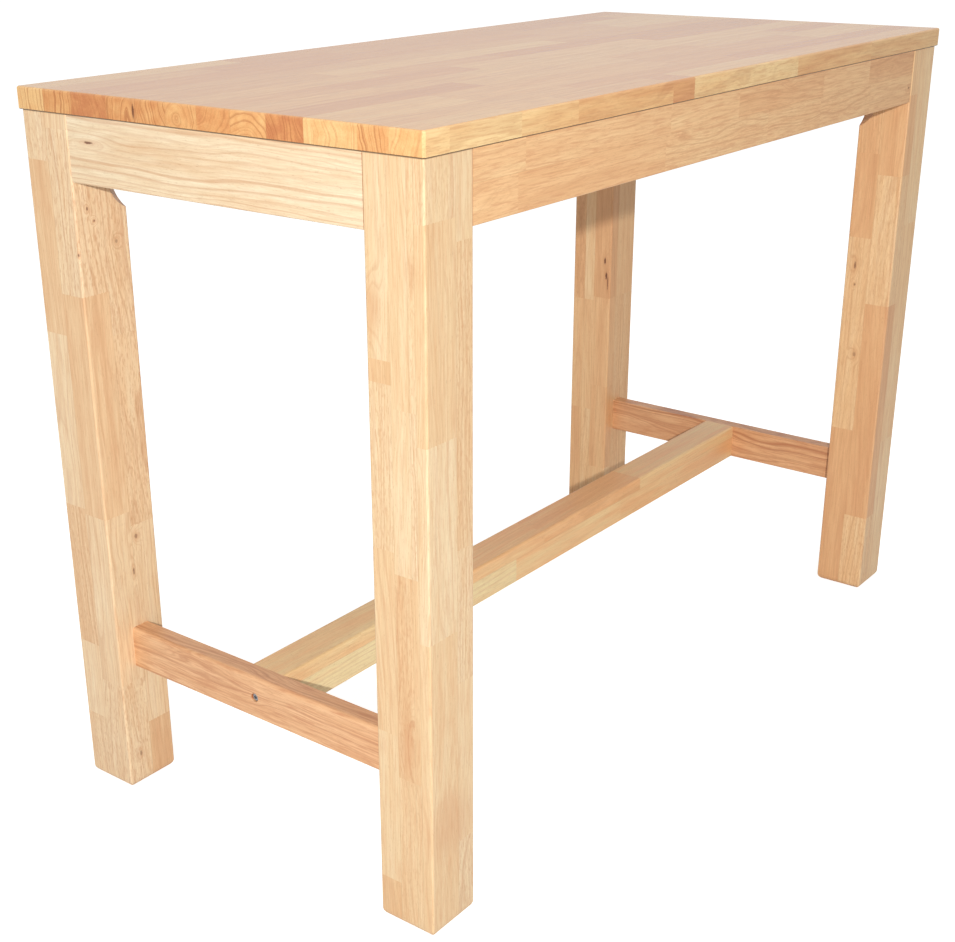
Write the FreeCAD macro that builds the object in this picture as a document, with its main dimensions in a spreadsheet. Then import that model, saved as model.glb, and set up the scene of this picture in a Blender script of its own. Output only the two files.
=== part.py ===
import FreeCAD, Part
import os
import re

import Sketcher

# Bar-height table in laminated light hardwood, at real size in millimetres.
# +X runs along the table, +Y across it, +Z is up, and the origin lies on the floor below the middle.
# Two end frames, each of two legs, an apron and a stretcher with round-ended tenons, are closed by two
# long aprons and a centre rail.  Inside each top corner a wooden block is screwed to both aprons, and
# two bolts draw the leg's stopped chamfer towards it.  Small rounds that stay inside the wood or under
# the top are drawn with eight flats, and wood screws with six, which keeps the model light.  Each hole has
# the flats of its pin.

os.makedirs("parts", exist_ok=True)
doc = FreeCAD.newDocument("bar_table")

SIZES = {
    # Overall
    "table_length": 1460,
    "table_depth": 700,
    "table_height": 1065,
    # Top slab
    "top_thickness": 30,
    "top_arris_radius": 3,
    "top_corner_arris_width": 3,
    "top_lower_arris_width": 1,
    # Legs
    "frame_setback_distance": 4,
    "leg_width": 90,
    "leg_arris_radius": 3,
    "foot_arris_radius": 12,
    "leg_chamfer_width": 28,
    "leg_chamfer_run_out_height": 47,
    "leg_chamfer_cutter_radius": 45,
    # Aprons
    "apron_height": 90,
    "apron_thickness": 25,
    "apron_setback_distance": 1,
    "apron_arris_radius": 2,
    "apron_tenon_thickness": 12,
    "apron_tenon_height": 60,
    "apron_tenon_length": 30,
    # End stretchers and centre rail
    "stretcher_height": 65,
    "stretcher_thickness": 30,
    "stretcher_floor_gap": 205,
    "stretcher_upper_arris_radius": 6,
    "stretcher_lower_arris_radius": 2,
    "stretcher_tenon_thickness": 14,
    "stretcher_tenon_height": 45,
    "stretcher_tenon_length": 40,
    "rail_width": 65,
    "rail_upper_arris_radius": 5,
    "rail_lower_arris_radius": 2,
    # Fits
    "tenon_end_gap": 1,
    "tenon_side_gap": 0.05,
    "pin_side_gap": 0.05,
    "bolt_side_gap": 0.5,
    "screw_side_gap": 0.05,
    "hole_end_gap": 1,
    "cut_overrun_length": 5,
    "match_distance": 0.001,
    # Corner blocks
    "block_thickness": 28,
    "block_height": 62,
    "block_top_gap": 2,
    "block_draw_gap": 0.8,
    # Leg bolts, their washers and the insert nuts in the legs
    "leg_bolt_radius": 4,
    "leg_bolt_head_radius": 6.5,
    "leg_bolt_head_height": 8,
    "leg_bolt_length": 60,
    "leg_bolt_spacing_distance": 32,
    "leg_bolt_socket_width": 6,
    "leg_bolt_socket_depth": 4,
    "flat_washer_radius": 9,
    "flat_washer_thickness": 1.6,
    "spring_washer_radius": 7,
    "spring_washer_thickness": 2,
    "spring_washer_slit_width": 1.5,
    "insert_nut_radius": 6,
    "insert_nut_length": 20,
    # Dowels between the long aprons and the legs
    "apron_dowel_radius": 5,
    "apron_dowel_length": 50,
    "apron_dowel_spacing_distance": 44,
    # Corner block screws into the aprons, and block screws up into the top
    "block_screw_radius": 2,
    "block_screw_head_radius": 4,
    "block_screw_head_height": 2.5,
    "block_screw_length": 32,
    "block_screw_grip_length": 14,
    "block_screw_end_distance": 12,
    "block_screw_spacing_distance": 40,
    "block_counterbore_radius": 5,
    "top_screw_length": 45,
    "top_screw_reach_length": 18,
    "top_screw_offset_distance": 32,
    # Steel angle brackets between the long aprons and the top, and their screws
    "bracket_flange_length": 30,
    "bracket_width": 20,
    "bracket_thickness": 2,
    "bracket_bend_width": 1.5,
    "bracket_hole_radius": 2.25,
    "bracket_spacing_distance": 500,
    "bracket_screw_length": 16,
    # Bolted joint between the end stretchers and the centre rail
    "rail_bolt_radius": 4,
    "rail_bolt_head_radius": 6,
    "rail_bolt_head_height": 5,
    "rail_bolt_length": 60,
    "rail_bolt_recess_radius": 6.6,
    "rail_bolt_recess_depth": 8,
    "rail_bolt_socket_width": 5,
    "rail_bolt_socket_depth": 3,
    "rail_washer_thickness": 1,
    "barrel_nut_radius": 5,
    "barrel_nut_length": 18,
    "barrel_nut_setback_distance": 32,
    "barrel_nut_slot_width": 1.2,
    "barrel_nut_slot_depth": 1.5,
    "rail_dowel_radius": 4,
    "rail_dowel_length": 30,
    "rail_dowel_spacing_distance": 40,
}

sheet = doc.addObject("Spreadsheet::Sheet", "sizes")
for row, (alias, size) in enumerate(SIZES.items(), start=1):
    sheet.set(f"A{row}", alias)
    sheet.set(f"B{row}", str(size))
    sheet.setAlias(f"B{row}", alias)
doc.recompute()

# Places worked out from the sizes, as formulas that the features share
LEG_LENGTH = "(table_height - top_thickness)"
FRAME_X = "(table_length / 2 - frame_setback_distance)"
FRAME_Y = "(table_depth / 2 - frame_setback_distance)"
APRON_BOTTOM = f"({LEG_LENGTH} - apron_height)"
APRON_MIDDLE = f"({LEG_LENGTH} - apron_height / 2)"
APRON_INNER = "(apron_setback_distance + apron_thickness)"
APRON_TENON_CENTRE = "(apron_setback_distance + apron_thickness / 2)"
LONG_APRON_END = f"({FRAME_X} - leg_width)"
END_APRON_END = f"({FRAME_Y} - leg_width)"
STRETCHER_TOP = "(stretcher_floor_gap + stretcher_height)"
STRETCHER_MIDDLE = "(stretcher_floor_gap + stretcher_height / 2)"
STRETCHER_OUTER_X = f"({FRAME_X} - leg_width / 2 + stretcher_thickness / 2)"
STRETCHER_INNER_X = f"({FRAME_X} - leg_width / 2 - stretcher_thickness / 2)"
# Distances along the leg's diagonal, measured inwards from its outer corner
LEG_DIAGONAL = "(leg_width * sqrt(2))"
CHAMFER_DEPTH = "(leg_chamfer_width / sqrt(2))"
CHAMFER_FACE = f"({LEG_DIAGONAL} - {CHAMFER_DEPTH})"
NUT_END = f"({CHAMFER_FACE} - insert_nut_length)"
BLOCK_FACE = f"({CHAMFER_FACE} + block_draw_gap)"
BLOCK_BACK = f"({BLOCK_FACE} + block_thickness)"
BLOCK_MIDDLE = f"({BLOCK_FACE} + block_thickness / 2)"
FLAT_WASHER_BACK = f"({BLOCK_BACK} + flat_washer_thickness)"
BOLT_SEAT = f"({FLAT_WASHER_BACK} + spring_washer_thickness)"
BOLT_HEAD_END = f"({BOLT_SEAT} + leg_bolt_head_height)"
BOLT_TIP = f"({BOLT_SEAT} - leg_bolt_length)"
# Corners and screw places of the block along the table's own directions, from the leg's outer corner
BLOCK_BOTTOM = f"({LEG_LENGTH} - block_top_gap - block_height)"
BLOCK_CENTRE = f"({BLOCK_BOTTOM} + block_height / 2)"
BLOCK_NEAR = f"({BLOCK_FACE} * sqrt(2) - {APRON_INNER})"
BLOCK_FAR = f"({BLOCK_BACK} * sqrt(2) - {APRON_INNER})"
BLOCK_SCREW_PLACE = f"({BLOCK_NEAR} + block_screw_end_distance)"
BLOCK_SCREW_SEAT = f"({APRON_INNER} + block_screw_grip_length)"
TOP_SCREW_SEAT = f"({LEG_LENGTH} + top_screw_reach_length - top_screw_length)"
TOP_SCREW_OUTER = f"(({BLOCK_MIDDLE} + top_screw_offset_distance) / sqrt(2))"
TOP_SCREW_INNER = f"(({BLOCK_MIDDLE} - top_screw_offset_distance) / sqrt(2))"
# Places along the rail's bolted joint, from the table's middle
RAIL_BOLT_SEAT = f"({STRETCHER_OUTER_X} - rail_bolt_recess_depth)"
RAIL_HEAD_SEAT = f"({RAIL_BOLT_SEAT} + rail_washer_thickness)"
RAIL_HEAD_END = f"({RAIL_HEAD_SEAT} + rail_bolt_head_height)"
RAIL_BOLT_TIP = f"({RAIL_HEAD_SEAT} - rail_bolt_length)"
BARREL_NUT_X = f"({STRETCHER_INNER_X} - barrel_nut_setback_distance)"
# Screw holes in the middle of a bracket's flanges
BRACKET_SCREW = "(bracket_flange_length / 2)"
BRACKET_REACH = "(bracket_screw_length - bracket_thickness)"
BRACKET_WALL = f"({FRAME_Y} - {APRON_INNER})"
BRACKET_Y = f"({BRACKET_WALL} - {BRACKET_SCREW})"
BRACKET_HOLE_Z = f"({LEG_LENGTH} - {BRACKET_SCREW})"

PILOT_RADIUS = "block_screw_radius + screw_side_gap"
CORNER_ANGLE = 45
FULL_ANGLE = 360


def formula(text):
    """Point the names of sizes in a formula at the sheet's cells."""
    return re.sub(r"[a-z][a-z_]+", lambda word: f"sizes.{word[0]}" if word[0] in SIZES else word[0], text)


def value(text):
    """The present value of a formula."""
    return float(sheet.evalExpression(formula(text)))


def bind(thing, place, text):
    thing.setExpression(place, formula(text))


def origin_feature(body, role):
    return next(feature for feature in body.Origin.OriginFeatures if feature.Role == role)


def make_body(label):
    body = doc.addObject("PartDesign::Body", label)
    body.Label = label
    return body


def make_sketch(body, name, role, place=("0", "0", "0"), turn=0):
    """A sketch on an origin plane of its body, shifted by three formulas and turned about its upright."""
    sketch = body.newObject("Sketcher::SketchObject", name)
    sketch.AttachmentSupport = [(origin_feature(body, role), "")]
    sketch.MapMode = "FlatFace"
    own_upright = FreeCAD.Vector(0, 1, 0)
    sketch.AttachmentOffset = FreeCAD.Placement(FreeCAD.Vector(), FreeCAD.Rotation(own_upright, turn))
    for axis, text in zip("xyz", place):
        bind(sketch, f"AttachmentOffset.Base.{axis}", text)
    return sketch


def pin(sketch, edge, point, place):
    """Hold a point of a sketch at a pair of formulas from the sketch's origin."""
    for kind, text in zip(("DistanceX", "DistanceY"), place):
        index = sketch.addConstraint(Sketcher.Constraint(kind, -1, 1, edge, point, value(text)))
        bind(sketch, f"Constraints[{index}]", text)


def draw_outline(sketch, corners):
    """A closed outline of straight lines through corners given as pairs of formulas."""
    points = [FreeCAD.Vector(value(x), value(y), 0) for x, y in corners]
    count = len(points)
    first = sketch.GeometryCount
    for index in range(count):
        sketch.addGeometry(Part.LineSegment(points[index], points[(index + 1) % count]))
    for index in range(count):
        following = first + (index + 1) % count
        sketch.addConstraint(Sketcher.Constraint("Coincident", first + index, 2, following, 1))
        pin(sketch, first + index, 1, corners[index])


def draw_round(sketch, centre, radius, reach="0"):
    """Eight flats round a circle, or with a reach the two ends of an upright slot and its sides."""
    far = f"({radius})"
    near = f"({radius}) * (sqrt(2) - 1)"
    quarter = ((far, near), (near, far))
    turns = (("+", "+", quarter), ("-", "+", quarter[::-1]), ("-", "-", quarter), ("+", "-", quarter[::-1]))
    draw_outline(sketch, [
        (f"{centre[0]} {sideways} {x}", f"{centre[1]} {upwards} ({reach} + {y})")
        for sideways, upwards, corners in turns for x, y in corners
    ])


def draw_hexagon(sketch, centre, half):
    """A hexagon about a centre, with two corners on its upright, from half its width across flats."""
    half = f"({half})"
    corner = f"{half} * 2 / sqrt(3)"
    offsets = (("+ 0", f"+ {corner}"), (f"- {half}", f"+ {corner} / 2"), (f"- {half}", f"- {corner} / 2"),
               ("+ 0", f"- {corner}"), (f"+ {half}", f"- {corner} / 2"), (f"+ {half}", f"+ {corner} / 2"))
    draw_outline(sketch, [(f"{centre[0]} {x}", f"{centre[1]} {y}") for x, y in offsets])


def add_pad(body, name, sketch, length, backwards=False):
    pad = body.newObject("PartDesign::Pad", name)
    pad.Profile = sketch
    bind(pad, "Length", length)
    pad.Reversed = backwards
    return finish_feature(body, pad)


def add_pocket(body, name, sketch, length, backwards=False, both_ways=False):
    pocket = body.newObject("PartDesign::Pocket", name)
    pocket.Profile = sketch
    bind(pocket, "Length", length)
    pocket.Reversed = backwards
    if both_ways:
        pocket.SideType = "Symmetric"
    return finish_cut(body, pocket)


def add_shafts(body, name, plane, centres, radius, length, backwards=False, bore=None, draw=draw_round):
    """Straight round lengths from one plane, such as dowels, shanks and, with a bore, rings."""
    section = make_sketch(body, name + "_section", *plane)
    for centre in centres:
        draw(section, centre, radius)
        if bore:
            draw_round(section, centre, bore)
    return add_pad(body, name, section, length, backwards)


def add_holes(body, name, plane, centres, radius, depth, backwards=False, draw=draw_round):
    """Straight round holes from one plane."""
    mouths = make_sketch(body, name + "_mouths", *plane)
    for centre in centres:
        draw(mouths, centre, radius)
    return add_pocket(body, name, mouths, depth, backwards)


def add_screw_holes(body, name, plane, centres, depth, backwards=False, radius=PILOT_RADIUS):
    """Holes for wood screws, which are pilot holes unless they have another radius."""
    return add_holes(body, name, plane, centres, radius, depth, backwards, draw_hexagon)


def ease_edges(body, kind, name, size, chosen):
    """Round or chamfer the edges of the body's present shape that the test picks."""
    base = body.Tip
    edges = [f"Edge{index}" for index, edge in enumerate(base.Shape.Edges, start=1) if chosen(edge)]
    easing = body.newObject(f"PartDesign::{kind}", name)
    easing.Base = (base, edges)
    bind(easing, "Radius" if kind == "Fillet" else "Size", size)
    return finish_feature(body, easing)


def finish_feature(body, feature):
    body.Tip = feature
    doc.recompute()
    return feature


def finish_cut(body, feature):
    """A cut has to take something away."""
    before = feature.BaseFeature.Shape.Volume
    finish_feature(body, feature)
    if not feature.Shape.Volume < before:
        raise RuntimeError(f"{body.Label}: {feature.Name} cuts nothing")
    return feature


def mirror_in(body, name, role, originals=None):
    mirror = body.newObject("PartDesign::Mirrored", name)
    if originals:
        mirror.Originals = originals
    else:
        mirror.TransformMode = "Whole shape"
    mirror.MirrorPlane = (origin_feature(body, role), [""])
    return finish_feature(body, mirror)


def mirrored_copy(label, source, normal):
    copy = doc.addObject("Part::Mirroring", label)
    copy.Label = label
    copy.Source = source
    copy.Normal = FreeCAD.Vector(*normal)
    return copy


def four_corners(body):
    """Repeat a whole body at the table's four corners."""
    mirror_in(body, "other_end", "YZ_Plane")
    mirror_in(body, "other_side", "XZ_Plane")


def pair_about(centre, spacing, upwards=True):
    """Two centres, spaced evenly about one along its upright or its level."""
    if upwards:
        return [(centre[0], f"{centre[1]} {side} {spacing} / 2") for side in "+-"]
    return [(f"{centre[0]} {side} {spacing} / 2", centre[1]) for side in "+-"]


def on_diagonal(distance, corner=("0", "0")):
    """A plane square to the diagonal of the front left leg, at the bolts' middle height."""
    place = (f"{distance} / sqrt(2) - {corner[1]}", BLOCK_CENTRE, f"{distance} / sqrt(2) - {corner[0]}")
    return ("YZ_Plane", place, CORNER_ANGLE)


def upright(edge):
    return abs(edge.Vertexes[0].Z - edge.Vertexes[-1].Z) > value("top_thickness / 2")


def lies_at(edge, height):
    """True for an edge whose ends both lie at a height given as a formula."""
    return all(abs(vertex.Z - value(height)) < value("match_distance") for vertex in edge.Vertexes)


def spans(edge, axis, length):
    """True for an edge that runs along an axis for more than a length given as a formula."""
    ends = [getattr(vertex, axis) for vertex in edge.Vertexes]
    return max(ends) - min(ends) > value(length)


CROSS = {"x": (1, 0, 0), "y": (0, 1, 0)}
TABLE_CORNER = (FRAME_X, FRAME_Y)
BOLT_PAIR = pair_about(("0", "0"), "leg_bolt_spacing_distance")
nodes = []


# Top slab
table_top = make_body("table_top")
underside = ("XY_Plane", ("0", "0", LEG_LENGTH))
slab_outline = make_sketch(table_top, "slab_outline", *underside)
half_length, half_depth = "table_length / 2", "table_depth / 2"
draw_outline(slab_outline, [
    (f"-{half_length}", f"-{half_depth}"), (half_length, f"-{half_depth}"),
    (half_length, half_depth), (f"-{half_length}", half_depth),
])
add_pad(table_top, "slab", slab_outline, "top_thickness")
ease_edges(table_top, "Chamfer", "slab_corner_arrises", "top_corner_arris_width", upright)
ease_edges(table_top, "Fillet", "slab_arrises", "top_arris_radius",
           lambda edge: lies_at(edge, "table_height"))
ease_edges(table_top, "Chamfer", "slab_lower_arrises", "top_lower_arris_width",
           lambda edge: lies_at(edge, LEG_LENGTH))

# Screw holes in the underside: two beside the bolts in each corner block, and one in each bracket
ALL_SIDES = (("", ""), ("-", ""), ("", "-"), ("-", "-"))
block_hole_places = (
    (f"({FRAME_X} - {TOP_SCREW_OUTER})", f"({FRAME_Y} - {TOP_SCREW_INNER})"),
    (f"({FRAME_X} - {TOP_SCREW_INNER})", f"({FRAME_Y} - {TOP_SCREW_OUTER})"),
)
add_screw_holes(table_top, "block_screw_holes", underside,
                [(x_sign + x, y_sign + y) for x, y in block_hole_places for x_sign, y_sign in ALL_SIDES],
                "top_screw_reach_length + hole_end_gap", backwards=True)
half_spacing = "bracket_spacing_distance / 2"
add_screw_holes(table_top, "bracket_screw_holes", underside,
                [(x_sign + half_spacing, y_sign + BRACKET_Y) for x_sign, y_sign in ALL_SIDES],
                f"{BRACKET_REACH} + hole_end_gap", backwards=True)
nodes.append(table_top)


# Leg at the front left corner, drawn from its own outer corner
leg = make_body("leg_front_left")
bind(leg, "Placement.Base.x", f"-{FRAME_X}")
bind(leg, "Placement.Base.y", f"-{FRAME_Y}")
leg_section = make_sketch(leg, "leg_section", "XY_Plane")
draw_outline(leg_section, [("0", "0"), ("leg_width", "0"), ("leg_width", "leg_width"), ("0", "leg_width")])
add_pad(leg, "leg_blank", leg_section, LEG_LENGTH)
ease_edges(leg, "Fillet", "foot_rounding", "foot_arris_radius", lambda edge: lies_at(edge, "0"))
ease_edges(leg, "Fillet", "leg_arrises", "leg_arris_radius", upright)

# Stopped chamfer on the inner corner: full depth beside the block, run out below it by the cutter's arc
chamfer_profile = make_sketch(leg, "chamfer_profile", "XZ_Plane", turn=CORNER_ANGLE)
RUN_OUT_END = f"({APRON_BOTTOM} - leg_chamfer_run_out_height)"
CUTTER_SAG = f"(2 * leg_chamfer_cutter_radius * {CHAMFER_DEPTH} - {CHAMFER_DEPTH} ^ 2)"
CUTTER_CENTRE_Z = f"({RUN_OUT_END} + sqrt({CUTTER_SAG}))"
CUTTER_CENTRE_D = f"({CHAMFER_FACE} + leg_chamfer_cutter_radius)"
ABOVE_LEG = f"({LEG_LENGTH} + cut_overrun_length)"
cutter_corners = [
    (CHAMFER_FACE, CUTTER_CENTRE_Z), (CHAMFER_FACE, ABOVE_LEG),
    (CUTTER_CENTRE_D, ABOVE_LEG), (CUTTER_CENTRE_D, f"{CUTTER_CENTRE_Z} - leg_chamfer_cutter_radius"),
]
points = [FreeCAD.Vector(value(d), value(z), 0) for d, z in cutter_corners]
for start, end in zip(points, points[1:]):
    chamfer_profile.addGeometry(Part.LineSegment(start, end))
cutter = Part.Circle(FreeCAD.Vector(value(CUTTER_CENTRE_D), value(CUTTER_CENTRE_Z), 0),
                     FreeCAD.Vector(0, 0, 1), value("leg_chamfer_cutter_radius"))
chamfer_profile.addGeometry(Part.ArcOfCircle(cutter, value("pi"), value("pi + pi / 2")))
FACE_LINE, TOP_LINE, BACK_LINE, CUTTER_ARC = range(4)
START, END, MIDDLE = 1, 2, 3
for joint in ((FACE_LINE, END, TOP_LINE, START), (TOP_LINE, END, BACK_LINE, START),
              (BACK_LINE, END, CUTTER_ARC, END), (CUTTER_ARC, START, FACE_LINE, START)):
    chamfer_profile.addConstraint(Sketcher.Constraint("Coincident", *joint))
for line, corner in zip((FACE_LINE, TOP_LINE, BACK_LINE), cutter_corners):
    pin(chamfer_profile, line, START, corner)
pin(chamfer_profile, CUTTER_ARC, MIDDLE, (CUTTER_CENTRE_D, CUTTER_CENTRE_Z))
chamfer_profile.addConstraint(Sketcher.Constraint("Vertical", BACK_LINE))
add_pocket(leg, "stopped_chamfer", chamfer_profile, LEG_DIAGONAL, both_ways=True)


def draw_tenon(sketch, centre, kind, gap="0"):
    """The round-ended section of an apron's or a stretcher's tenon, or of its mortise with a gap."""
    reach = f"({kind}_tenon_height - {kind}_tenon_thickness) / 2"
    draw_round(sketch, centre, f"{kind}_tenon_thickness / 2 + {gap}", reach)


def add_mortise(kind, centre):
    """A mortise in the leg's inner side face."""
    mouth = make_sketch(leg, f"{kind}_mortise_mouth", "XZ_Plane", ("0", "0", "-leg_width"))
    draw_tenon(mouth, centre, kind, "tenon_side_gap")
    add_pocket(leg, f"{kind}_mortise", mouth, f"{kind}_tenon_length + tenon_end_gap", backwards=True)


add_mortise("apron", (APRON_TENON_CENTRE, APRON_MIDDLE))
add_mortise("stretcher", ("leg_width / 2", STRETCHER_MIDDLE))

# Dowel holes for the long apron, and holes that take the insert nuts and the tips of the leg bolts
DOWEL_HOLE_RADIUS = "apron_dowel_radius + pin_side_gap"
DOWEL_HOLE_DEPTH = "apron_dowel_length / 2 + hole_end_gap"
add_holes(leg, "leg_dowel_holes", ("YZ_Plane", ("0", "0", "leg_width")),
          pair_about((APRON_TENON_CENTRE, APRON_MIDDLE), "apron_dowel_spacing_distance"),
          DOWEL_HOLE_RADIUS, DOWEL_HOLE_DEPTH)
add_holes(leg, "nut_holes", on_diagonal(CHAMFER_FACE), BOLT_PAIR, "insert_nut_radius + pin_side_gap",
          f"{CHAMFER_FACE} - {BOLT_TIP} + hole_end_gap")
leg_front_right = mirrored_copy("leg_front_right", leg, CROSS["x"])
leg_back_left = mirrored_copy("leg_back_left", leg, CROSS["y"])
leg_back_right = mirrored_copy("leg_back_right", leg_back_left, CROSS["x"])
nodes += [leg, leg_front_right, leg_back_left, leg_back_right]


# Long aprons, doweled to the legs, with holes for the corner block screws and the brackets' screws
long_apron = make_body("long_apron_front")
long_apron_end = make_sketch(long_apron, "long_apron_section", "YZ_Plane", ("0", "0", f"-{LONG_APRON_END}"))
apron_front = f"-{FRAME_Y} + apron_setback_distance"
apron_back = f"-{FRAME_Y} + {APRON_INNER}"
draw_outline(long_apron_end, [
    (apron_front, APRON_BOTTOM), (apron_back, APRON_BOTTOM), (apron_back, LEG_LENGTH),
    (apron_front, LEG_LENGTH),
])
add_pad(long_apron, "long_apron_blank", long_apron_end, f"2 * {LONG_APRON_END}")
ease_edges(long_apron, "Fillet", "long_apron_arrises", "apron_arris_radius",
           lambda edge: lies_at(edge, APRON_BOTTOM) and spans(edge, "X", LONG_APRON_END))
dowel_holes = add_holes(
    long_apron, "apron_dowel_holes", ("YZ_Plane", ("0", "0", LONG_APRON_END)),
    pair_about((f"{APRON_TENON_CENTRE} - {FRAME_Y}", APRON_MIDDLE), "apron_dowel_spacing_distance"),
    DOWEL_HOLE_RADIUS, DOWEL_HOLE_DEPTH)
mirror_in(long_apron, "far_dowel_holes", "YZ_Plane", [dowel_holes])
APRON_SCREW_DEPTH = "block_screw_length - block_screw_grip_length + hole_end_gap"
long_inner_face = ("XZ_Plane", ("0", "0", BRACKET_WALL))


def both_ends(middle):
    """Centres for the two block screws at each end of an apron."""
    end = f"({middle} - {BLOCK_SCREW_PLACE})"
    near_pair = pair_about((end, BLOCK_CENTRE), "block_screw_spacing_distance")
    return near_pair + pair_about((f"-{end}", BLOCK_CENTRE), "block_screw_spacing_distance")


add_screw_holes(long_apron, "long_block_screw_holes", long_inner_face, both_ends(FRAME_X),
                APRON_SCREW_DEPTH, backwards=True)
add_screw_holes(long_apron, "long_bracket_screw_holes", long_inner_face,
                pair_about(("0", BRACKET_HOLE_Z), "bracket_spacing_distance", upwards=False),
                f"{BRACKET_REACH} + hole_end_gap", backwards=True)
long_apron_back = mirrored_copy("long_apron_back", long_apron, CROSS["y"])
nodes += [long_apron, long_apron_back]


# End aprons, tenoned into the legs
end_apron = make_body("end_apron_left")
end_section = make_sketch(end_apron, "end_apron_section", "XZ_Plane", ("0", "0", END_APRON_END))
end_front = f"-{FRAME_X} + apron_setback_distance"
end_back = f"-{FRAME_X} + {APRON_INNER}"
draw_outline(end_section, [
    (end_front, APRON_BOTTOM), (end_back, APRON_BOTTOM), (end_back, LEG_LENGTH), (end_front, LEG_LENGTH),
])
add_pad(end_apron, "end_apron_blank", end_section, f"2 * {END_APRON_END}", backwards=True)
ease_edges(end_apron, "Fillet", "end_apron_arrises", "apron_arris_radius",
           lambda edge: lies_at(edge, APRON_BOTTOM) and spans(edge, "Y", END_APRON_END))


def add_tenons(body, kind, centre):
    """Round-ended tenons on both ends of a piece that runs across the table."""
    section = make_sketch(body, f"{kind}_tenon_section", "XZ_Plane", ("0", "0", END_APRON_END))
    draw_tenon(section, centre, kind)
    tenon = add_pad(body, f"{kind}_tenon", section, f"{kind}_tenon_length")
    mirror_in(body, f"far_{kind}_tenon", "XZ_Plane", [tenon])


add_tenons(end_apron, "apron", (f"{APRON_TENON_CENTRE} - {FRAME_X}", APRON_MIDDLE))
add_screw_holes(end_apron, "end_block_screw_holes", ("YZ_Plane", ("0", "0", f"{APRON_INNER} - {FRAME_X}")),
                both_ends(FRAME_Y), APRON_SCREW_DEPTH)
end_apron_right = mirrored_copy("end_apron_right", end_apron, CROSS["x"])
nodes += [end_apron, end_apron_right]


# Corner block at the front left corner, drawn from the leg's outer corner
block = make_body("corner_block_front_left")
bind(block, "Placement.Base.x", f"-{FRAME_X}")
bind(block, "Placement.Base.y", f"-{FRAME_Y}")
block_section = make_sketch(block, "block_section", "XY_Plane", ("0", "0", BLOCK_BOTTOM))
draw_outline(block_section, [
    (BLOCK_NEAR, APRON_INNER), (BLOCK_FAR, APRON_INNER),
    (APRON_INNER, BLOCK_FAR), (APRON_INNER, BLOCK_NEAR),
])
add_pad(block, "block_blank", block_section, "block_height")
add_holes(block, "bolt_holes", on_diagonal(BLOCK_BACK), BOLT_PAIR, "leg_bolt_radius + bolt_side_gap",
          "block_thickness + cut_overrun_length")


def add_screw_ways(name, role, mouth, seat, centres, grip, backwards):
    """Counterbored holes for screws that seat inside the block and pass through its grip."""
    add_screw_holes(block, name + "_counterbores", (role, ("0", "0", mouth)), centres,
                    f"abs({mouth} - {seat})", backwards, "block_counterbore_radius")
    add_screw_holes(block, name + "_holes", (role, ("0", "0", seat)), centres,
                    f"{grip} + cut_overrun_length", backwards, "block_screw_radius + bolt_side_gap")


apron_screw_pair = pair_about((BLOCK_SCREW_PLACE, BLOCK_CENTRE), "block_screw_spacing_distance")
add_screw_ways("long_screw", "XZ_Plane", f"(-{BLOCK_FAR})", f"(-{BLOCK_SCREW_SEAT})", apron_screw_pair,
               "block_screw_grip_length", True)
add_screw_ways("end_screw", "YZ_Plane", BLOCK_FAR, BLOCK_SCREW_SEAT, apron_screw_pair,
               "block_screw_grip_length", False)
top_screw_pair = [(TOP_SCREW_OUTER, TOP_SCREW_INNER), (TOP_SCREW_INNER, TOP_SCREW_OUTER)]
add_screw_ways("top_screw", "XY_Plane", BLOCK_BOTTOM, TOP_SCREW_SEAT, top_screw_pair,
               "top_screw_length", True)
block_front_right = mirrored_copy("corner_block_front_right", block, CROSS["x"])
block_back_left = mirrored_copy("corner_block_back_left", block, CROSS["y"])
block_back_right = mirrored_copy("corner_block_back_right", block_back_left, CROSS["x"])
nodes += [block, block_front_right, block_back_left, block_back_right]


# Leg bolts with hexagon sockets, two through each corner block
leg_bolts = make_body("leg_bolts")
add_shafts(leg_bolts, "leg_bolt_shanks", on_diagonal(BOLT_TIP, TABLE_CORNER), BOLT_PAIR, "leg_bolt_radius",
           "leg_bolt_length")
add_shafts(leg_bolts, "leg_bolt_heads", on_diagonal(BOLT_SEAT, TABLE_CORNER), BOLT_PAIR,
           "leg_bolt_head_radius", "leg_bolt_head_height")
socket_outlines = make_sketch(leg_bolts, "socket_outlines", *on_diagonal(BOLT_HEAD_END, TABLE_CORNER))
for centre in BOLT_PAIR:
    draw_hexagon(socket_outlines, centre, "leg_bolt_socket_width / 2")
add_pocket(leg_bolts, "sockets", socket_outlines, "leg_bolt_socket_depth")

# Flat and spring washers under the bolts' heads, and the insert nuts that the bolts run into
ring_bore = "leg_bolt_radius + pin_side_gap"
flat_washers = make_body("leg_bolt_flat_washers")
add_shafts(flat_washers, "flat_washer_pair", on_diagonal(BLOCK_BACK, TABLE_CORNER), BOLT_PAIR,
           "flat_washer_radius", "flat_washer_thickness", bore=ring_bore)
spring_washers = make_body("leg_bolt_spring_washers")
add_shafts(spring_washers, "spring_washer_pair", on_diagonal(FLAT_WASHER_BACK, TABLE_CORNER), BOLT_PAIR,
           "spring_washer_radius", "spring_washer_thickness", bore=ring_bore)
slits = make_sketch(spring_washers, "slit_outlines", *on_diagonal(BOLT_SEAT, TABLE_CORNER))
half_slit = "spring_washer_slit_width / 2"
for x, z in BOLT_PAIR:
    slit_end = f"{z} + spring_washer_radius + cut_overrun_length"
    draw_outline(slits, [
        (f"-{half_slit}", z), (half_slit, z), (half_slit, slit_end), (f"-{half_slit}", slit_end),
    ])
add_pocket(spring_washers, "slits", slits, "spring_washer_thickness")
insert_nuts = make_body("leg_insert_nuts")
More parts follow.
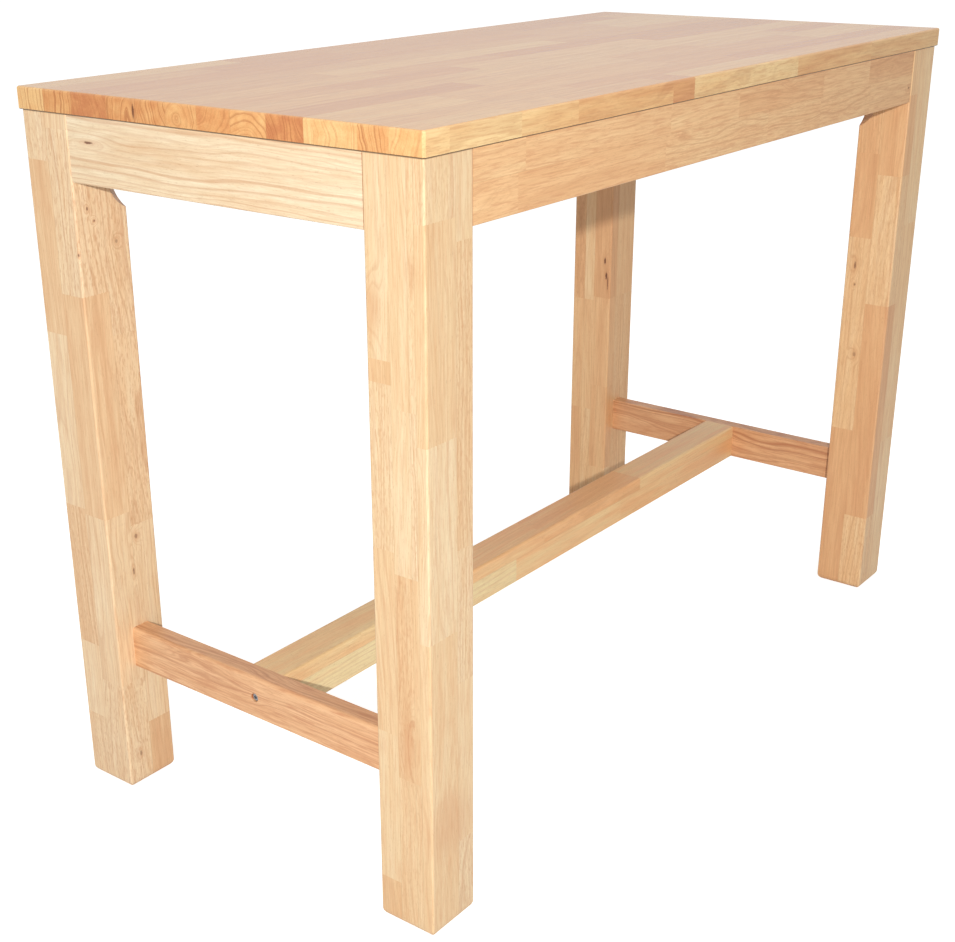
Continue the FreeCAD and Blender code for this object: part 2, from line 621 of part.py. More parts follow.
add_shafts(insert_nuts, "insert_nut_pair", on_diagonal(NUT_END, TABLE_CORNER), BOLT_PAIR,
           "insert_nut_radius", "insert_nut_length", bore=ring_bore)

# Dowels between the long aprons and the legs
dowels = make_body("long_apron_dowels")
dowel_start = ("0", "0", f"-{LONG_APRON_END} - apron_dowel_length / 2")
add_shafts(dowels, "dowel_pair", ("YZ_Plane", dowel_start),
           pair_about((f"{APRON_TENON_CENTRE} - {FRAME_Y}", APRON_MIDDLE), "apron_dowel_spacing_distance"),
           "apron_dowel_radius", "apron_dowel_length")


def add_screws(body, name, plane, centres, length, head_backwards):
    """Pan-head screws that seat on one plane."""
    add_shafts(body, name + "_shanks", plane, centres, "block_screw_radius", length, not head_backwards,
               draw=draw_hexagon)
    add_shafts(body, name + "_heads", plane, centres, "block_screw_head_radius", "block_screw_head_height",
               head_backwards, draw=draw_hexagon)


# Screws that hold the corner blocks to both aprons, four to a block, and the top, two to a block
block_screws = make_body("corner_block_screws")
add_screws(block_screws, "long_apron_screw", ("XZ_Plane", ("0", "0", f"{FRAME_Y} - {BLOCK_SCREW_SEAT}")),
           pair_about((f"{BLOCK_SCREW_PLACE} - {FRAME_X}", BLOCK_CENTRE), "block_screw_spacing_distance"),
           "block_screw_length", True)
add_screws(block_screws, "end_apron_screw", ("YZ_Plane", ("0", "0", f"{BLOCK_SCREW_SEAT} - {FRAME_X}")),
           pair_about((f"{BLOCK_SCREW_PLACE} - {FRAME_Y}", BLOCK_CENTRE), "block_screw_spacing_distance"),
           "block_screw_length", False)
top_screws = make_body("top_screws")
add_screws(top_screws, "top_screw", ("XY_Plane", ("0", "0", TOP_SCREW_SEAT)),
           [(f"{x} - {FRAME_X}", f"{y} - {FRAME_Y}") for x, y in top_screw_pair], "top_screw_length", True)

# Steel angle brackets, two on each long apron: a bent strip drawn in the plane square to the apron
brackets = make_body("top_brackets")
angle_section = make_sketch(brackets, "angle_section", "YZ_Plane",
                            ("0", "0", "-(bracket_spacing_distance + bracket_width) / 2"))
wall, inner_wall = f"-{BRACKET_WALL}", f"-{BRACKET_WALL} + bracket_thickness"
inner_under = f"{LEG_LENGTH} - bracket_thickness"
draw_outline(angle_section, [
    (wall, LEG_LENGTH), (f"{wall} + bracket_flange_length", LEG_LENGTH),
    (f"{wall} + bracket_flange_length", inner_under), (inner_wall, inner_under),
    (inner_wall, f"{LEG_LENGTH} - bracket_flange_length"), (wall, f"{LEG_LENGTH} - bracket_flange_length"),
])
add_pad(brackets, "angle", angle_section, "bracket_width")


def is_bend(edge):
    """True for the outer and the inner edge along an angle's bend."""
    at_bend = edge.Vertexes[0].Y < value(f"{wall} + bracket_flange_length / 2")
    along = spans(edge, "X", "bracket_width / 2")
    return at_bend and along and (lies_at(edge, LEG_LENGTH) or lies_at(edge, inner_under))


ease_edges(brackets, "Chamfer", "bends", "bracket_bend_width", is_bend)
bracket_x = f"-{half_spacing}"
add_screw_holes(brackets, "wall_hole", ("XZ_Plane", ("0", "0", BRACKET_WALL)), [(bracket_x, BRACKET_HOLE_Z)],
                "bracket_thickness", radius="bracket_hole_radius")
add_screw_holes(brackets, "top_hole", underside, [(bracket_x, f"-{BRACKET_Y}")], "bracket_thickness",
                radius="bracket_hole_radius")

# Bracket screws, one into the apron and one into the top at each bracket
bracket_screws = make_body("bracket_screws")
add_screws(bracket_screws, "wall_screw", ("XZ_Plane", ("0", "0", f"{BRACKET_WALL} - bracket_thickness")),
           [(bracket_x, BRACKET_HOLE_Z)], "bracket_screw_length", True)
add_screws(bracket_screws, "flange_screw", ("XY_Plane", ("0", "0", inner_under)),
           [(bracket_x, f"-{BRACKET_Y}")], "bracket_screw_length", True)
corner_fittings = [leg_bolts, flat_washers, spring_washers, insert_nuts, dowels, block_screws, top_screws,
                   brackets, bracket_screws]
for fitting in corner_fittings:
    four_corners(fitting)
nodes += corner_fittings


# End stretchers, tenoned into the legs and bolted through to the centre rail
stretcher = make_body("end_stretcher_left")
stretcher_section = make_sketch(stretcher, "stretcher_section", "XZ_Plane", ("0", "0", END_APRON_END))
outer_x, inner_x = f"-{STRETCHER_OUTER_X}", f"-{STRETCHER_INNER_X}"
draw_outline(stretcher_section, [
    (outer_x, "stretcher_floor_gap"), (inner_x, "stretcher_floor_gap"), (inner_x, STRETCHER_TOP),
    (outer_x, STRETCHER_TOP),
])
add_pad(stretcher, "stretcher_blank", stretcher_section, f"2 * {END_APRON_END}", backwards=True)
stretcher_mid_x = value(f"({outer_x} + {inner_x}) / 2")
ease_edges(stretcher, "Fillet", "stretcher_upper_arris", "stretcher_upper_arris_radius",
           lambda edge: spans(edge, "Y", END_APRON_END) and lies_at(edge, STRETCHER_TOP)
           and edge.Vertexes[0].X < stretcher_mid_x)
ease_edges(stretcher, "Fillet", "stretcher_lower_arrises", "stretcher_lower_arris_radius",
           lambda edge: spans(edge, "Y", END_APRON_END) and lies_at(edge, "stretcher_floor_gap"))
add_tenons(stretcher, "stretcher", (f"leg_width / 2 - {FRAME_X}", STRETCHER_MIDDLE))


# The rail bolt's recess stays in sight, so it is turned as a true round
recess_profile = make_sketch(stretcher, "recess_profile", "XZ_Plane", ("0", STRETCHER_MIDDLE, "0"))
recess_mouth = f"{outer_x} - cut_overrun_length"
draw_outline(recess_profile, [
    (recess_mouth, "0"), (f"-{RAIL_BOLT_SEAT}", "0"), (f"-{RAIL_BOLT_SEAT}", "rail_bolt_recess_radius"),
    (recess_mouth, "rail_bolt_recess_radius"),
])
recess = stretcher.newObject("PartDesign::Groove", "rail_bolt_recess")
recess.Profile = recess_profile
recess.ReferenceAxis = (recess_profile, ["H_Axis"])
recess.Angle = FULL_ANGLE
finish_cut(stretcher, recess)
RAIL_AXIS = [("0", STRETCHER_MIDDLE)]
RAIL_DOWEL_PAIR = pair_about(RAIL_AXIS[0], "rail_dowel_spacing_distance", upwards=False)
rail_end = ("YZ_Plane", ("0", "0", inner_x))
add_holes(stretcher, "rail_bolt_hole", rail_end, RAIL_AXIS, "rail_bolt_radius + bolt_side_gap",
          "stretcher_thickness")
add_holes(stretcher, "rail_dowel_holes", rail_end, RAIL_DOWEL_PAIR, "rail_dowel_radius + pin_side_gap",
          "rail_dowel_length / 2 + hole_end_gap")
stretcher_right = mirrored_copy("end_stretcher_right", stretcher, CROSS["x"])
nodes += [stretcher, stretcher_right]


# Centre rail between the end stretchers
rail = make_body("centre_rail")
rail_section = make_sketch(rail, "rail_section", *rail_end)
half_rail = "rail_width / 2"
draw_outline(rail_section, [
    (f"-{half_rail}", "stretcher_floor_gap"), (half_rail, "stretcher_floor_gap"),
    (half_rail, STRETCHER_TOP), (f"-{half_rail}", STRETCHER_TOP),
])
add_pad(rail, "rail_blank", rail_section, f"2 * {STRETCHER_INNER_X}")
ease_edges(rail, "Fillet", "rail_upper_arrises", "rail_upper_arris_radius",
           lambda edge: spans(edge, "X", STRETCHER_INNER_X) and lies_at(edge, STRETCHER_TOP))
ease_edges(rail, "Fillet", "rail_lower_arrises", "rail_lower_arris_radius",
           lambda edge: spans(edge, "X", STRETCHER_INNER_X) and lies_at(edge, "stretcher_floor_gap"))
end_holes = add_holes(rail, "rail_end_holes", rail_end, RAIL_DOWEL_PAIR, "rail_dowel_radius + pin_side_gap",
                      "rail_dowel_length / 2 + hole_end_gap", backwards=True)
bolt_way = add_holes(rail, "rail_bolt_way", rail_end, RAIL_AXIS, "rail_bolt_radius + bolt_side_gap",
                     f"{STRETCHER_INNER_X} - {RAIL_BOLT_TIP} + hole_end_gap", backwards=True)
nut_way = add_holes(rail, "barrel_nut_way", ("XY_Plane", ("0", "0", "stretcher_floor_gap")),
                    [(f"-{BARREL_NUT_X}", "0")], "barrel_nut_radius + pin_side_gap",
                    "(stretcher_height + barrel_nut_length) / 2 + hole_end_gap", backwards=True)
mirror_in(rail, "far_end", "YZ_Plane", [end_holes, bolt_way, nut_way])
nodes.append(rail)

# Rail bolts, their washers and the barrel nuts that they draw on
rail_bolts = make_body("rail_bolts")
head_seat = ("YZ_Plane", ("0", "0", f"-{RAIL_HEAD_SEAT}"))
add_shafts(rail_bolts, "rail_bolt_shank", head_seat, RAIL_AXIS, "rail_bolt_radius", "rail_bolt_length")
add_shafts(rail_bolts, "rail_bolt_head", head_seat, RAIL_AXIS, "rail_bolt_head_radius",
           "rail_bolt_head_height", backwards=True)
add_holes(rail_bolts, "rail_bolt_socket", ("YZ_Plane", ("0", "0", f"-{RAIL_HEAD_END}")), RAIL_AXIS,
          "rail_bolt_socket_width / 2", "rail_bolt_socket_depth", backwards=True, draw=draw_hexagon)
rail_washers = make_body("rail_bolt_washers")
rail_bore = "rail_bolt_radius + pin_side_gap"
add_shafts(rail_washers, "rail_washer", head_seat, RAIL_AXIS, "rail_bolt_head_radius",
           "rail_washer_thickness", bore=rail_bore)
barrel_nuts = make_body("rail_barrel_nuts")
barrel_bottom = f"{STRETCHER_MIDDLE} - barrel_nut_length / 2"
add_shafts(barrel_nuts, "barrel", ("XY_Plane", ("0", "0", barrel_bottom)), [(f"-{BARREL_NUT_X}", "0")],
           "barrel_nut_radius", "barrel_nut_length")
barrel_width = "2 * barrel_nut_radius + cut_overrun_length"
cross_bore = make_sketch(barrel_nuts, "cross_bore_mouth", "YZ_Plane", ("0", "0", f"-{BARREL_NUT_X}"))
draw_round(cross_bore, RAIL_AXIS[0], rail_bore)
add_pocket(barrel_nuts, "cross_bore", cross_bore, barrel_width, both_ways=True)
slot_place = (f"-{BARREL_NUT_X}", barrel_bottom, "0")
driver_slot = make_sketch(barrel_nuts, "driver_slot_outline", "XZ_Plane", slot_place)
half_slot = "barrel_nut_slot_width / 2"
draw_outline(driver_slot, [
    (f"-{half_slot}", "-cut_overrun_length"), (half_slot, "-cut_overrun_length"),
    (half_slot, "barrel_nut_slot_depth"), (f"-{half_slot}", "barrel_nut_slot_depth"),
])
add_pocket(barrel_nuts, "driver_slot", driver_slot, barrel_width, both_ways=True)

# Dowels that keep the rail from turning on its bolt
rail_dowels = make_body("rail_dowels")
add_shafts(rail_dowels, "rail_dowel_pair", ("YZ_Plane", ("0", "0", f"{inner_x} - rail_dowel_length / 2")),
           RAIL_DOWEL_PAIR, "rail_dowel_radius", "rail_dowel_length")
end_fittings = [rail_bolts, rail_washers, barrel_nuts, rail_dowels]
for fitting in end_fittings:
    mirror_in(fitting, "other_end", "YZ_Plane")
nodes += end_fittings


# Everything is computed, sound and closed before any piece is written
doc.recompute()
for thing in doc.Objects:
    if "Invalid" in thing.State or "Error" in thing.State:
        raise RuntimeError(f"{thing.Label} failed: {thing.State}")
for node in nodes:
    if node.Shape.isNull() or not node.Shape.isValid():
        raise RuntimeError(f"{node.Label} has no valid shape")
for node in nodes:
    node.Shape.exportStep(f"parts/{node.Label}.step")
    print(f"{node.Label}: {len(node.Shape.Solids)} solids, {node.Shape.Volume:.0f} mm3")
print(f"{len(nodes)} nodes")
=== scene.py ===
# %% [markdown]
# # A laminated hardwood bar table
# The table is made of light hardwood strips that are finger-jointed end to end and glued side by side: a 30 mm
# top, four 90 mm legs, an apron frame under the top, two end stretchers and a rail between them. The shapes of
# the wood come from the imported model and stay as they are. What is made here is the look of the wood and of the
# plated steel, the bolts, screws and washers in full detail, the light and the view.

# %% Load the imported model
import math
import random

import bpy
from mathutils import Euler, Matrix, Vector


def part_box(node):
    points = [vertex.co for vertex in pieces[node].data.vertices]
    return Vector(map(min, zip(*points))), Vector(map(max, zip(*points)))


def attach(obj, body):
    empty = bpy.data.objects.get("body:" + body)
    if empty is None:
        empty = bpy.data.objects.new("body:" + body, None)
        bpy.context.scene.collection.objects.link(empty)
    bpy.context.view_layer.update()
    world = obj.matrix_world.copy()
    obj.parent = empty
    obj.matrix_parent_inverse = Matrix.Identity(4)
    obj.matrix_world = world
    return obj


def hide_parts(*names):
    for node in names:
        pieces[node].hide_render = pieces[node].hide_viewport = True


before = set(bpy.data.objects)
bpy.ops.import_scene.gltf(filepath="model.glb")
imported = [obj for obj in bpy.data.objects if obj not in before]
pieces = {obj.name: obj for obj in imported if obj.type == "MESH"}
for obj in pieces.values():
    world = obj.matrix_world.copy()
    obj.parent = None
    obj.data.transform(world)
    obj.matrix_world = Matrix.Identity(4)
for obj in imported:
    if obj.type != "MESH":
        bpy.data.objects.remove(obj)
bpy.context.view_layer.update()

# %% [markdown]
# ## Small helpers for node trees
# A finish is a chain of shader nodes, and written out in full each one takes five lines. These helpers add one
# node each and hand back what comes out of it. Values go into the node's sockets in order, or by the socket's
# name. A value that is itself a socket is linked, and any other value is typed in.

# %% Helpers that add one node


def plug(tree, value, socket):
    if isinstance(value, bpy.types.NodeSocket):
        tree.links.new(value, socket)
    else:
        socket.default_value = value


def feed(tree, made, *values, **named):
    for value, socket in zip(values, made.inputs):
        plug(tree, value, socket)
    for title, value in named.items():
        plug(tree, value, made.inputs[title.replace("_", " ")])
    return made.outputs


def add(tree, kind, *values, **named):
    return feed(tree, tree.nodes.new(kind), *values, **named)


def calc(tree, operation, *values):
    made = tree.nodes.new("ShaderNodeMath")
    made.operation = operation
    return feed(tree, made, *values)[0]


def vector_calc(tree, operation, *values):
    made = tree.nodes.new("ShaderNodeVectorMath")
    made.operation = operation
    return feed(tree, made, *values)["Value" if operation == "LENGTH" else "Vector"]


def split(tree, vector):
    return add(tree, "ShaderNodeSeparateXYZ", vector)


def join(tree, x, y, z):
    return add(tree, "ShaderNodeCombineXYZ", x, y, z)[0]


def fade(tree, value, start, end, low=0.0, high=1.0):
    made = tree.nodes.new("ShaderNodeMapRange")
    made.interpolation_type = "SMOOTHSTEP"
    return feed(tree, made, value, start, end, low, high)[0]


def product(tree, first, *others):
    for other in others:
        first = calc(tree, "MULTIPLY", first, other)
    return first


def noise(tree, place, scale, detail=2.0, roughness=0.5):
    return add(tree, "ShaderNodeTexNoise", Vector=place, Scale=scale, Detail=detail, Roughness=roughness)["Fac"]


def line_noise(tree, along, detail, roughness):
    made = tree.nodes.new("ShaderNodeTexNoise")
    made.noise_dimensions = "1D"
    return feed(tree, made, W=along, Scale=1.0, Detail=detail, Roughness=roughness)["Fac"]


def chance(tree, place):
    return add(tree, "ShaderNodeTexWhiteNoise", Vector=place)


def mix(tree, factor, first, second, kind="MIX"):
    made = tree.nodes.new("ShaderNodeMix")
    made.data_type = "RGBA"
    made.blend_type = kind
    made.clamp_factor = True
    plug(tree, factor, made.inputs[0])
    plug(tree, first, made.inputs[6])
    plug(tree, second, made.inputs[7])
    return made.outputs[2]


def new_group(name, takes, gives, family="ShaderNodeTree"):
    tree = bpy.data.node_groups.new(name, family)
    for title, kind in takes:
        tree.interface.new_socket(title, in_out="INPUT", socket_type="NodeSocket" + kind)
    for title, kind in gives:
        tree.interface.new_socket(title, in_out="OUTPUT", socket_type="NodeSocket" + kind)
    return tree, tree.nodes.new("NodeGroupInput").outputs, tree.nodes.new("NodeGroupOutput").inputs


def place_group(tree, group, **values):
    made = tree.nodes.new("ShaderNodeGroup")
    made.node_tree = group
    return feed(tree, made, **values)


def shade(red, green, blue):
    def linear(level):
        level = level / 255
        return level / 12.92 if level <= 0.04045 else ((level + 0.055) / 1.055) ** 2.4
    return (linear(red), linear(green), linear(blue), 1.0)


print("helpers ready; a mid grey of 128 is", round(shade(128, 128, 128)[0], 3), "in linear light")

# %% [markdown]
# ## A block's own place in its log
# The wood is made of short clear blocks, joined end to end into long strips and glued side by side. Each block was
# cut from another spot of another log. So each block has a key, three numbers that no other block has, and white
# noise turns the key into the block's tone, its spot in a log and a slight lean of the grain. Everything that is
# drawn on the wood later starts from this log place, which is why lines stop dead at every joint, as they do on
# the real table. An image of planks would repeat and would smear round the edges.

# %% The log place group
LEAN, LOG_REACH = 0.09, (7.0, 0.20, 0.16)
logs, given, result = new_group("log_place", [("Place", "Vector"), ("Key", "Vector")],
                                [("Tone", "Float"), ("Hue", "Float"), ("Log Place", "Vector")])
own = chance(logs, given["Key"])
pick = split(logs, own["Color"])
lean = product(logs, calc(logs, "SUBTRACT", pick[2], 0.5), LEAN)
shift = vector_calc(logs, "MULTIPLY", vector_calc(logs, "SUBTRACT", own["Color"], (0.5, 0.5, 0.5)), LOG_REACH)
moved = vector_calc(logs, "ADD", given["Place"], shift)
tilt = product(logs, split(logs, given["Place"])[0], lean)
plug(logs, vector_calc(logs, "ADD", moved, join(logs, 0.0, tilt, 0.0)), result["Log Place"])
plug(logs, own["Value"], result["Tone"])
plug(logs, pick[0], result["Hue"])
print("log_place has", len(logs.nodes), "nodes")

# %% [markdown]
# ## Strips at random
# On the sides that face away, nobody knows where the joints are, so chance may lay them. The place across picks a
# strip of uneven width, the depth picks a layer, and the place along the grain, after a random start, picks the
# block. The blocks are finger-jointed: a zigzag of the cutter is added to the place along the grain before the
# block is picked, over the depth alone, so that it shows on one pair of faces and is a straight cut on the other.

# %% The glued staves group
FINGER, GLUE_LINE = 0.003, 0.0006
staves, given, result = new_group("glued_staves", [
    ("Place", "Vector"), ("Stave Width", "Float"), ("Layer Depth", "Float"), ("Block Length", "Float"),
    ("Seed", "Float")], [("Key", "Vector"), ("Glue Line", "Float")])
along, across, deep = split(staves, given["Place"])
wide = calc(staves, "DIVIDE", across, given["Stave Width"])
sway = calc(staves, "SINE", calc(staves, "MULTIPLY_ADD", wide, 2.1, product(staves, given["Seed"], 1.7)))
wide = calc(staves, "MULTIPLY_ADD", sway, 0.22, wide)
stave = calc(staves, "FLOOR", wide)
layer = calc(staves, "FLOOR", calc(staves, "ADD", calc(staves, "DIVIDE", deep, given["Layer Depth"]), 0.5))
row = chance(staves, join(staves, stave, layer, given["Seed"]))
length = product(staves, given["Block Length"], calc(staves, "MULTIPLY_ADD", row["Value"], 0.7, 0.65))
run = calc(staves, "DIVIDE", calc(staves, "ADD", along, calc(staves, "PINGPONG", deep, FINGER)), length)
run = calc(staves, "ADD", run, product(staves, split(staves, row["Color"])[1], 9.0))
key = join(staves, calc(staves, "MULTIPLY_ADD", layer, 17.0, calc(staves, "FLOOR", run)), stave, given["Seed"])
seam = product(staves, calc(staves, "PINGPONG", wide, 0.5), given["Stave Width"])
plug(staves, key, result["Key"])
plug(staves, fade(staves, seam, 0.0, GLUE_LINE, 1.0, 0.0), result["Glue Line"])
print("glued_staves has", len(staves.nodes), "nodes")

# %% [markdown]
# ## Growth rings, fibre, pores and flecks
# Inside a block the wood is solid, so its pattern has to be solid too: rings round the heart of a log, which show
# as long lines and cathedral arches on a sawn face and as arcs on a cut end. The distance from the log's heart,
# made wavy by slow noise, runs through one-dimensional noise, which gives rings of uneven width. Fibre is noise
# that is stretched forty times along the grain, and streaks are coarser fibre, seen as long brown lines.
# The pores of this wood are short dark dashes, and where the saw met the rays square on, the wood is covered in
# short brown flecks.

# %% The growth rings group
rings, given, result = new_group("growth_rings", [
    ("Log Place", "Vector"), ("Ring Width", "Float"), ("Wave", "Float"), ("Swirl", "Float")],
    [("Ring", "Float"), ("Fibre", "Float"), ("Streaks", "Float"), ("Pores", "Float"), ("Flecks", "Float"),
     ("Cloud", "Float")])


def stretched_noise(along, across, detail=2.0, roughness=0.5):
    return noise(rings, vector_calc(rings, "MULTIPLY", given["Log Place"], (along, across, across)), 1.0, detail,
                 roughness)


slow = stretched_noise(3.4, 20.0, 2.0, 0.45)
flat = vector_calc(rings, "MULTIPLY", given["Log Place"], (0.0, 1.0, 1.0))
reach = calc(rings, "MULTIPLY_ADD", calc(rings, "SUBTRACT", slow, 0.5),
             product(rings, given["Wave"], 6.0), vector_calc(rings, "LENGTH", flat))
reach = calc(rings, "ADD", reach, given["Swirl"])
turns = calc(rings, "DIVIDE", reach, given["Ring Width"])
ring = fade(rings, line_noise(rings, turns, 3.0, 0.65), 0.43, 0.70)
for value, title in ((ring, "Ring"), (stretched_noise(14.0, 620.0, 3.0, 0.6), "Fibre"),
                     (fade(rings, stretched_noise(130.0, 1500.0, 1.0), 0.64, 0.74), "Pores"),
                     (fade(rings, stretched_noise(100.0, 560.0, 2.0), 0.50, 0.66), "Flecks"),
                     (fade(rings, stretched_noise(26.0, 380.0, 3.0, 0.6), 0.47, 0.66), "Streaks"),
                     (stretched_noise(5.0, 60.0, 3.0, 0.6), "Cloud")):
    plug(rings, value, result[title])
print("growth_rings has", len(rings.nodes), "nodes")

# %% [markdown]
# ## Knots
# Furniture strips are sorted, so what knots are left are small: pins of two or three millimetres, and here and
# there a short dark streak. This group scatters pin knots at random and bends the rings round them.

# %% The scattered pin knots group
pins, given, result = new_group("pin_knots", [
    ("Place", "Vector"), ("Spacing", "Float"), ("Share", "Float"), ("Size", "Float")],
    [("Knot", "Float"), ("Swirl", "Float")])
cells = pins.nodes.new("ShaderNodeTexVoronoi")
squeezed = vector_calc(pins, "MULTIPLY", given["Place"], (0.5, 1.0, 1.0))
plug(pins, vector_calc(pins, "DIVIDE", squeezed, join(pins, *[given["Spacing"]] * 3)), cells.inputs["Vector"])
cells.inputs["Scale"].default_value = 1.0
away = calc(pins, "DIVIDE", product(pins, cells.outputs["Distance"], given["Spacing"]), given["Size"])
kept = calc(pins, "LESS_THAN", split(pins, cells.outputs["Color"])[0], given["Share"])
plug(pins, product(pins, fade(pins, away, 0.35, 1.2, 1.0, 0.0), kept), result["Knot"])
halo = product(pins, fade(pins, away, 0.0, 7.0, 1.0, 0.0), kept)
plug(pins, product(pins, halo, product(pins, given["Size"], 3.0)), result["Swirl"])
print("pin_knots has", len(pins.nodes), "nodes")

# %% [markdown]
# ## A knot where one was seen
# A few knots can be seen plainly from the front. Such a knot is a ball squeezed by its span, so it can be a pin, a
# long dark streak or a crack. Its edge is ragged, its halo is the warmer wood around it, and its swirl pushes the
# rings aside. A darkness of nought leaves halo and swirl alone, as of a knot just below the surface.

# %% The single knot group
KNOT_PUSH = 0.014
single, given, result = new_group("single_knot", [
    ("Place", "Vector"), ("Centre", "Vector"), ("Span", "Vector")],
    [("Knot", "Float"), ("Halo", "Float"), ("Swirl", "Float")])
offset = vector_calc(single, "DIVIDE", vector_calc(single, "SUBTRACT", given["Place"], given["Centre"]),
                     given["Span"])
reach = vector_calc(single, "LENGTH", offset)
ragged = calc(single, "MULTIPLY_ADD", calc(single, "SUBTRACT", noise(single, given["Place"], 450.0), 0.5), 0.8,
              reach)
plug(single, fade(single, ragged, 0.35, 1.0, 1.0, 0.0), result["Knot"])
plug(single, fade(single, reach, 0.6, 3.2, 1.0, 0.0), result["Halo"])
plug(single, product(single, fade(single, reach, 0.0, 4.5, 1.0, 0.0), KNOT_PUSH), result["Swirl"])
print("single_knot has", len(single.nodes), "nodes")

# %% [markdown]
# ## Strips laid one by one
# On the sides that face the camera the eye knows the table by its blocks: the yellow strip on the front edge, the
# dark piece next to it, the straight cuts down the near leg. So those rows are listed one by one. A plan says where
# the strips of a piece part, and each row lists where its blocks start and how dark each one is, from 0 for the
# palest to 1 for the darkest. A ramp with hard steps holds a row. A block goes through its strip to both faces
# that the strip touches, so that a joint which is seen on one face is also found round the corner on the next.

# %% Rows laid one by one
TURNS = {"x": (0.0, 0.0, 0.0), "y": (0.0, 0.0, -math.pi / 2), "z": (0.0, math.pi / 2, 0.0)}
GRAIN_AXIS = {"x": 0, "y": 1, "z": 2}


def ramp(tree, factor, stops, hard=False):
    made = tree.nodes.new("ShaderNodeValToRGB")
    made.color_ramp.interpolation = "CONSTANT" if hard else "LINEAR"
    elements = made.color_ramp.elements
    while len(elements) > len(stops):
        elements.remove(elements[-1])
    while len(elements) < len(stops):
        elements.new(1.0)
    for element, (place, colour) in zip(elements, stops):
        element.position = place
        element.color = colour
    plug(tree, factor, made.inputs[0])
    return made.outputs[0]


def tone_ramp(tree, factor, tones):
    last = len(tones) - 1
    return ramp(tree, factor, [(index / last, shade(*tone)) for index, tone in enumerate(tones)])


def passed(tree, value, edges):
    count = 0.0
    for edge in edges:
        count = calc(tree, "ADD", count, calc(tree, "GREATER_THAN", value, edge))
    return count


def laid_blocks(tree, place, low, span, rows, across_edges=(), deep_edges=(), seed=0.0):
    along, across, deep = split(tree, place)
    strip = passed(tree, across, across_edges)
    if deep_edges:
        layer = passed(tree, product(tree, deep, -1.0), [-edge for edge in deep_edges])
        inner = calc(tree, "GREATER_THAN", layer, 0.5)
        below = calc(tree, "ADD", layer, float(len(across_edges)))
        strip = calc(tree, "ADD", product(tree, strip, calc(tree, "SUBTRACT", 1.0, inner)),
                     product(tree, below, inner))
    teeth = product(tree, calc(tree, "PINGPONG", deep, FINGER), 0.4)
    share = calc(tree, "MULTIPLY_ADD", calc(tree, "ADD", along, teeth), 1 / span, 0.5)
    tone = 0.0
    for number, row in enumerate(rows):
        stops = [(max(0.0, (start - low) / span), (level, level, level, 1.0)) for start, level in row]
        here = calc(tree, "COMPARE", strip, float(number), 0.5)
        tone = calc(tree, "MULTIPLY_ADD", here, ramp(tree, share, stops, hard=True), tone)
    seam = 0.0
    for value, edges in ((across, across_edges), (deep, deep_edges)):
        for edge in edges:
            gap = calc(tree, "ABSOLUTE", calc(tree, "SUBTRACT", value, edge))
            seam = calc(tree, "MAXIMUM", seam, fade(tree, gap, 0.0, GLUE_LINE, 1.0, 0.0))
    return tone, join(tree, strip, product(tree, tone, 53.1), seed), seam


print("grain may run along", ", ".join(TURNS))

# %% [markdown]
# ## One lacquered wood for every board
# All the wood on the table is the same species under the same clear satin lacquer, but no two boards match. So
# one function makes a material for each board from its own numbers: which way the grain runs, how its blocks are
# laid, which tones they come in, and how strong the rings are. The numbers below hold for a board that says
# nothing else. Sizes are in metres, and most of the others are shares from 0 to 1.

# %% What a board is like
BOARD = {
    "stave_width": 0.03, "layer_depth": 0.03, "block_length": 0.30,
    "ring_width": 0.004, "wave": 0.006, "ring_strength": 0.45, "ring_tone": (205, 148, 104), "end_rings": 0.0,
    "end_tone": (214, 150, 105), "end_share": 0.75, "streaks": 0.3, "flecks": 0.36, "pin_share": 0.12,
    "coat": 0.35, "coat_dullness": 0.3, "dullness": 0.45, "index": 1.46,
    # the last two numbers are painted shade: the dark eased edge under the top and the shadow line below the top
    "calm": 0.0, "dark_arris": 0.0, "dust": 0.0}
FIBRE_TINTS = [(220, 208, 194), (255, 255, 255)]
PORE_BROWN, FLECK_BROWN, SEAM_BROWN = shade(150, 96, 58), shade(190, 132, 88), shade(150, 104, 66)
HALO_BROWN, KNOT_BROWN = shade(196, 132, 86), shade(96, 48, 26)
# painted shade colours: the eased edge under the top, the shadow line below the top and the tint of the top's upward
# face
ARRIS_SHADE, PAINTED_SHADOW_BROWN, TOP_PAINTED_SHADE = shade(84, 64, 40), shade(96, 70, 44), shade(255, 245, 228)
PIN_SPACING, PIN_SIZE = 0.075, 0.0022
# where the eased edge under the top is found, and where the painted shadow line below the top starts and is full
ARRIS_SLOPE, PAINTED_SHADOW_START, PAINTED_SHADOW_FULL = -0.7, 0.0022, 0.0012
CLOUDINESS, PORE_SHARE, SEAM_SHARE, HALO_SHARE, KNOT_SHARE = 1.1, 0.3, 0.22, 0.30, 0.85
print("a board has", len(BOARD), "numbers that a piece may change")


def new_finish(name):
    material = bpy.data.materials.new(name)
    material.use_nodes = True
    return material, material.node_tree, material.node_tree.nodes["Principled BSDF"]


def dress(piece, material):
    for slot in pieces[piece].material_slots:
        slot.material = material


# %% [markdown]
# ## Laying the grain along a piece
# The groups above want the grain along their first axis. A Mapping node turns and centres the piece's own place
# for that, and a second one turns the surface's normal, which then tells a cut end from a side: where the normal
# points along the grain, it is a cut end. The knots that were seen are turned in the same way.

# %% Grain direction and knots


def turned(tree, socket, kind, grain, centre):
    made = tree.nodes.new("ShaderNodeMapping")
    made.vector_type = kind
    if kind == "POINT":
        made.inputs["Location"].default_value = -(Euler(TURNS[grain]).to_matrix() @ Vector(centre))
    return feed(tree, made, Rotation=TURNS[grain], Vector=socket)[0]


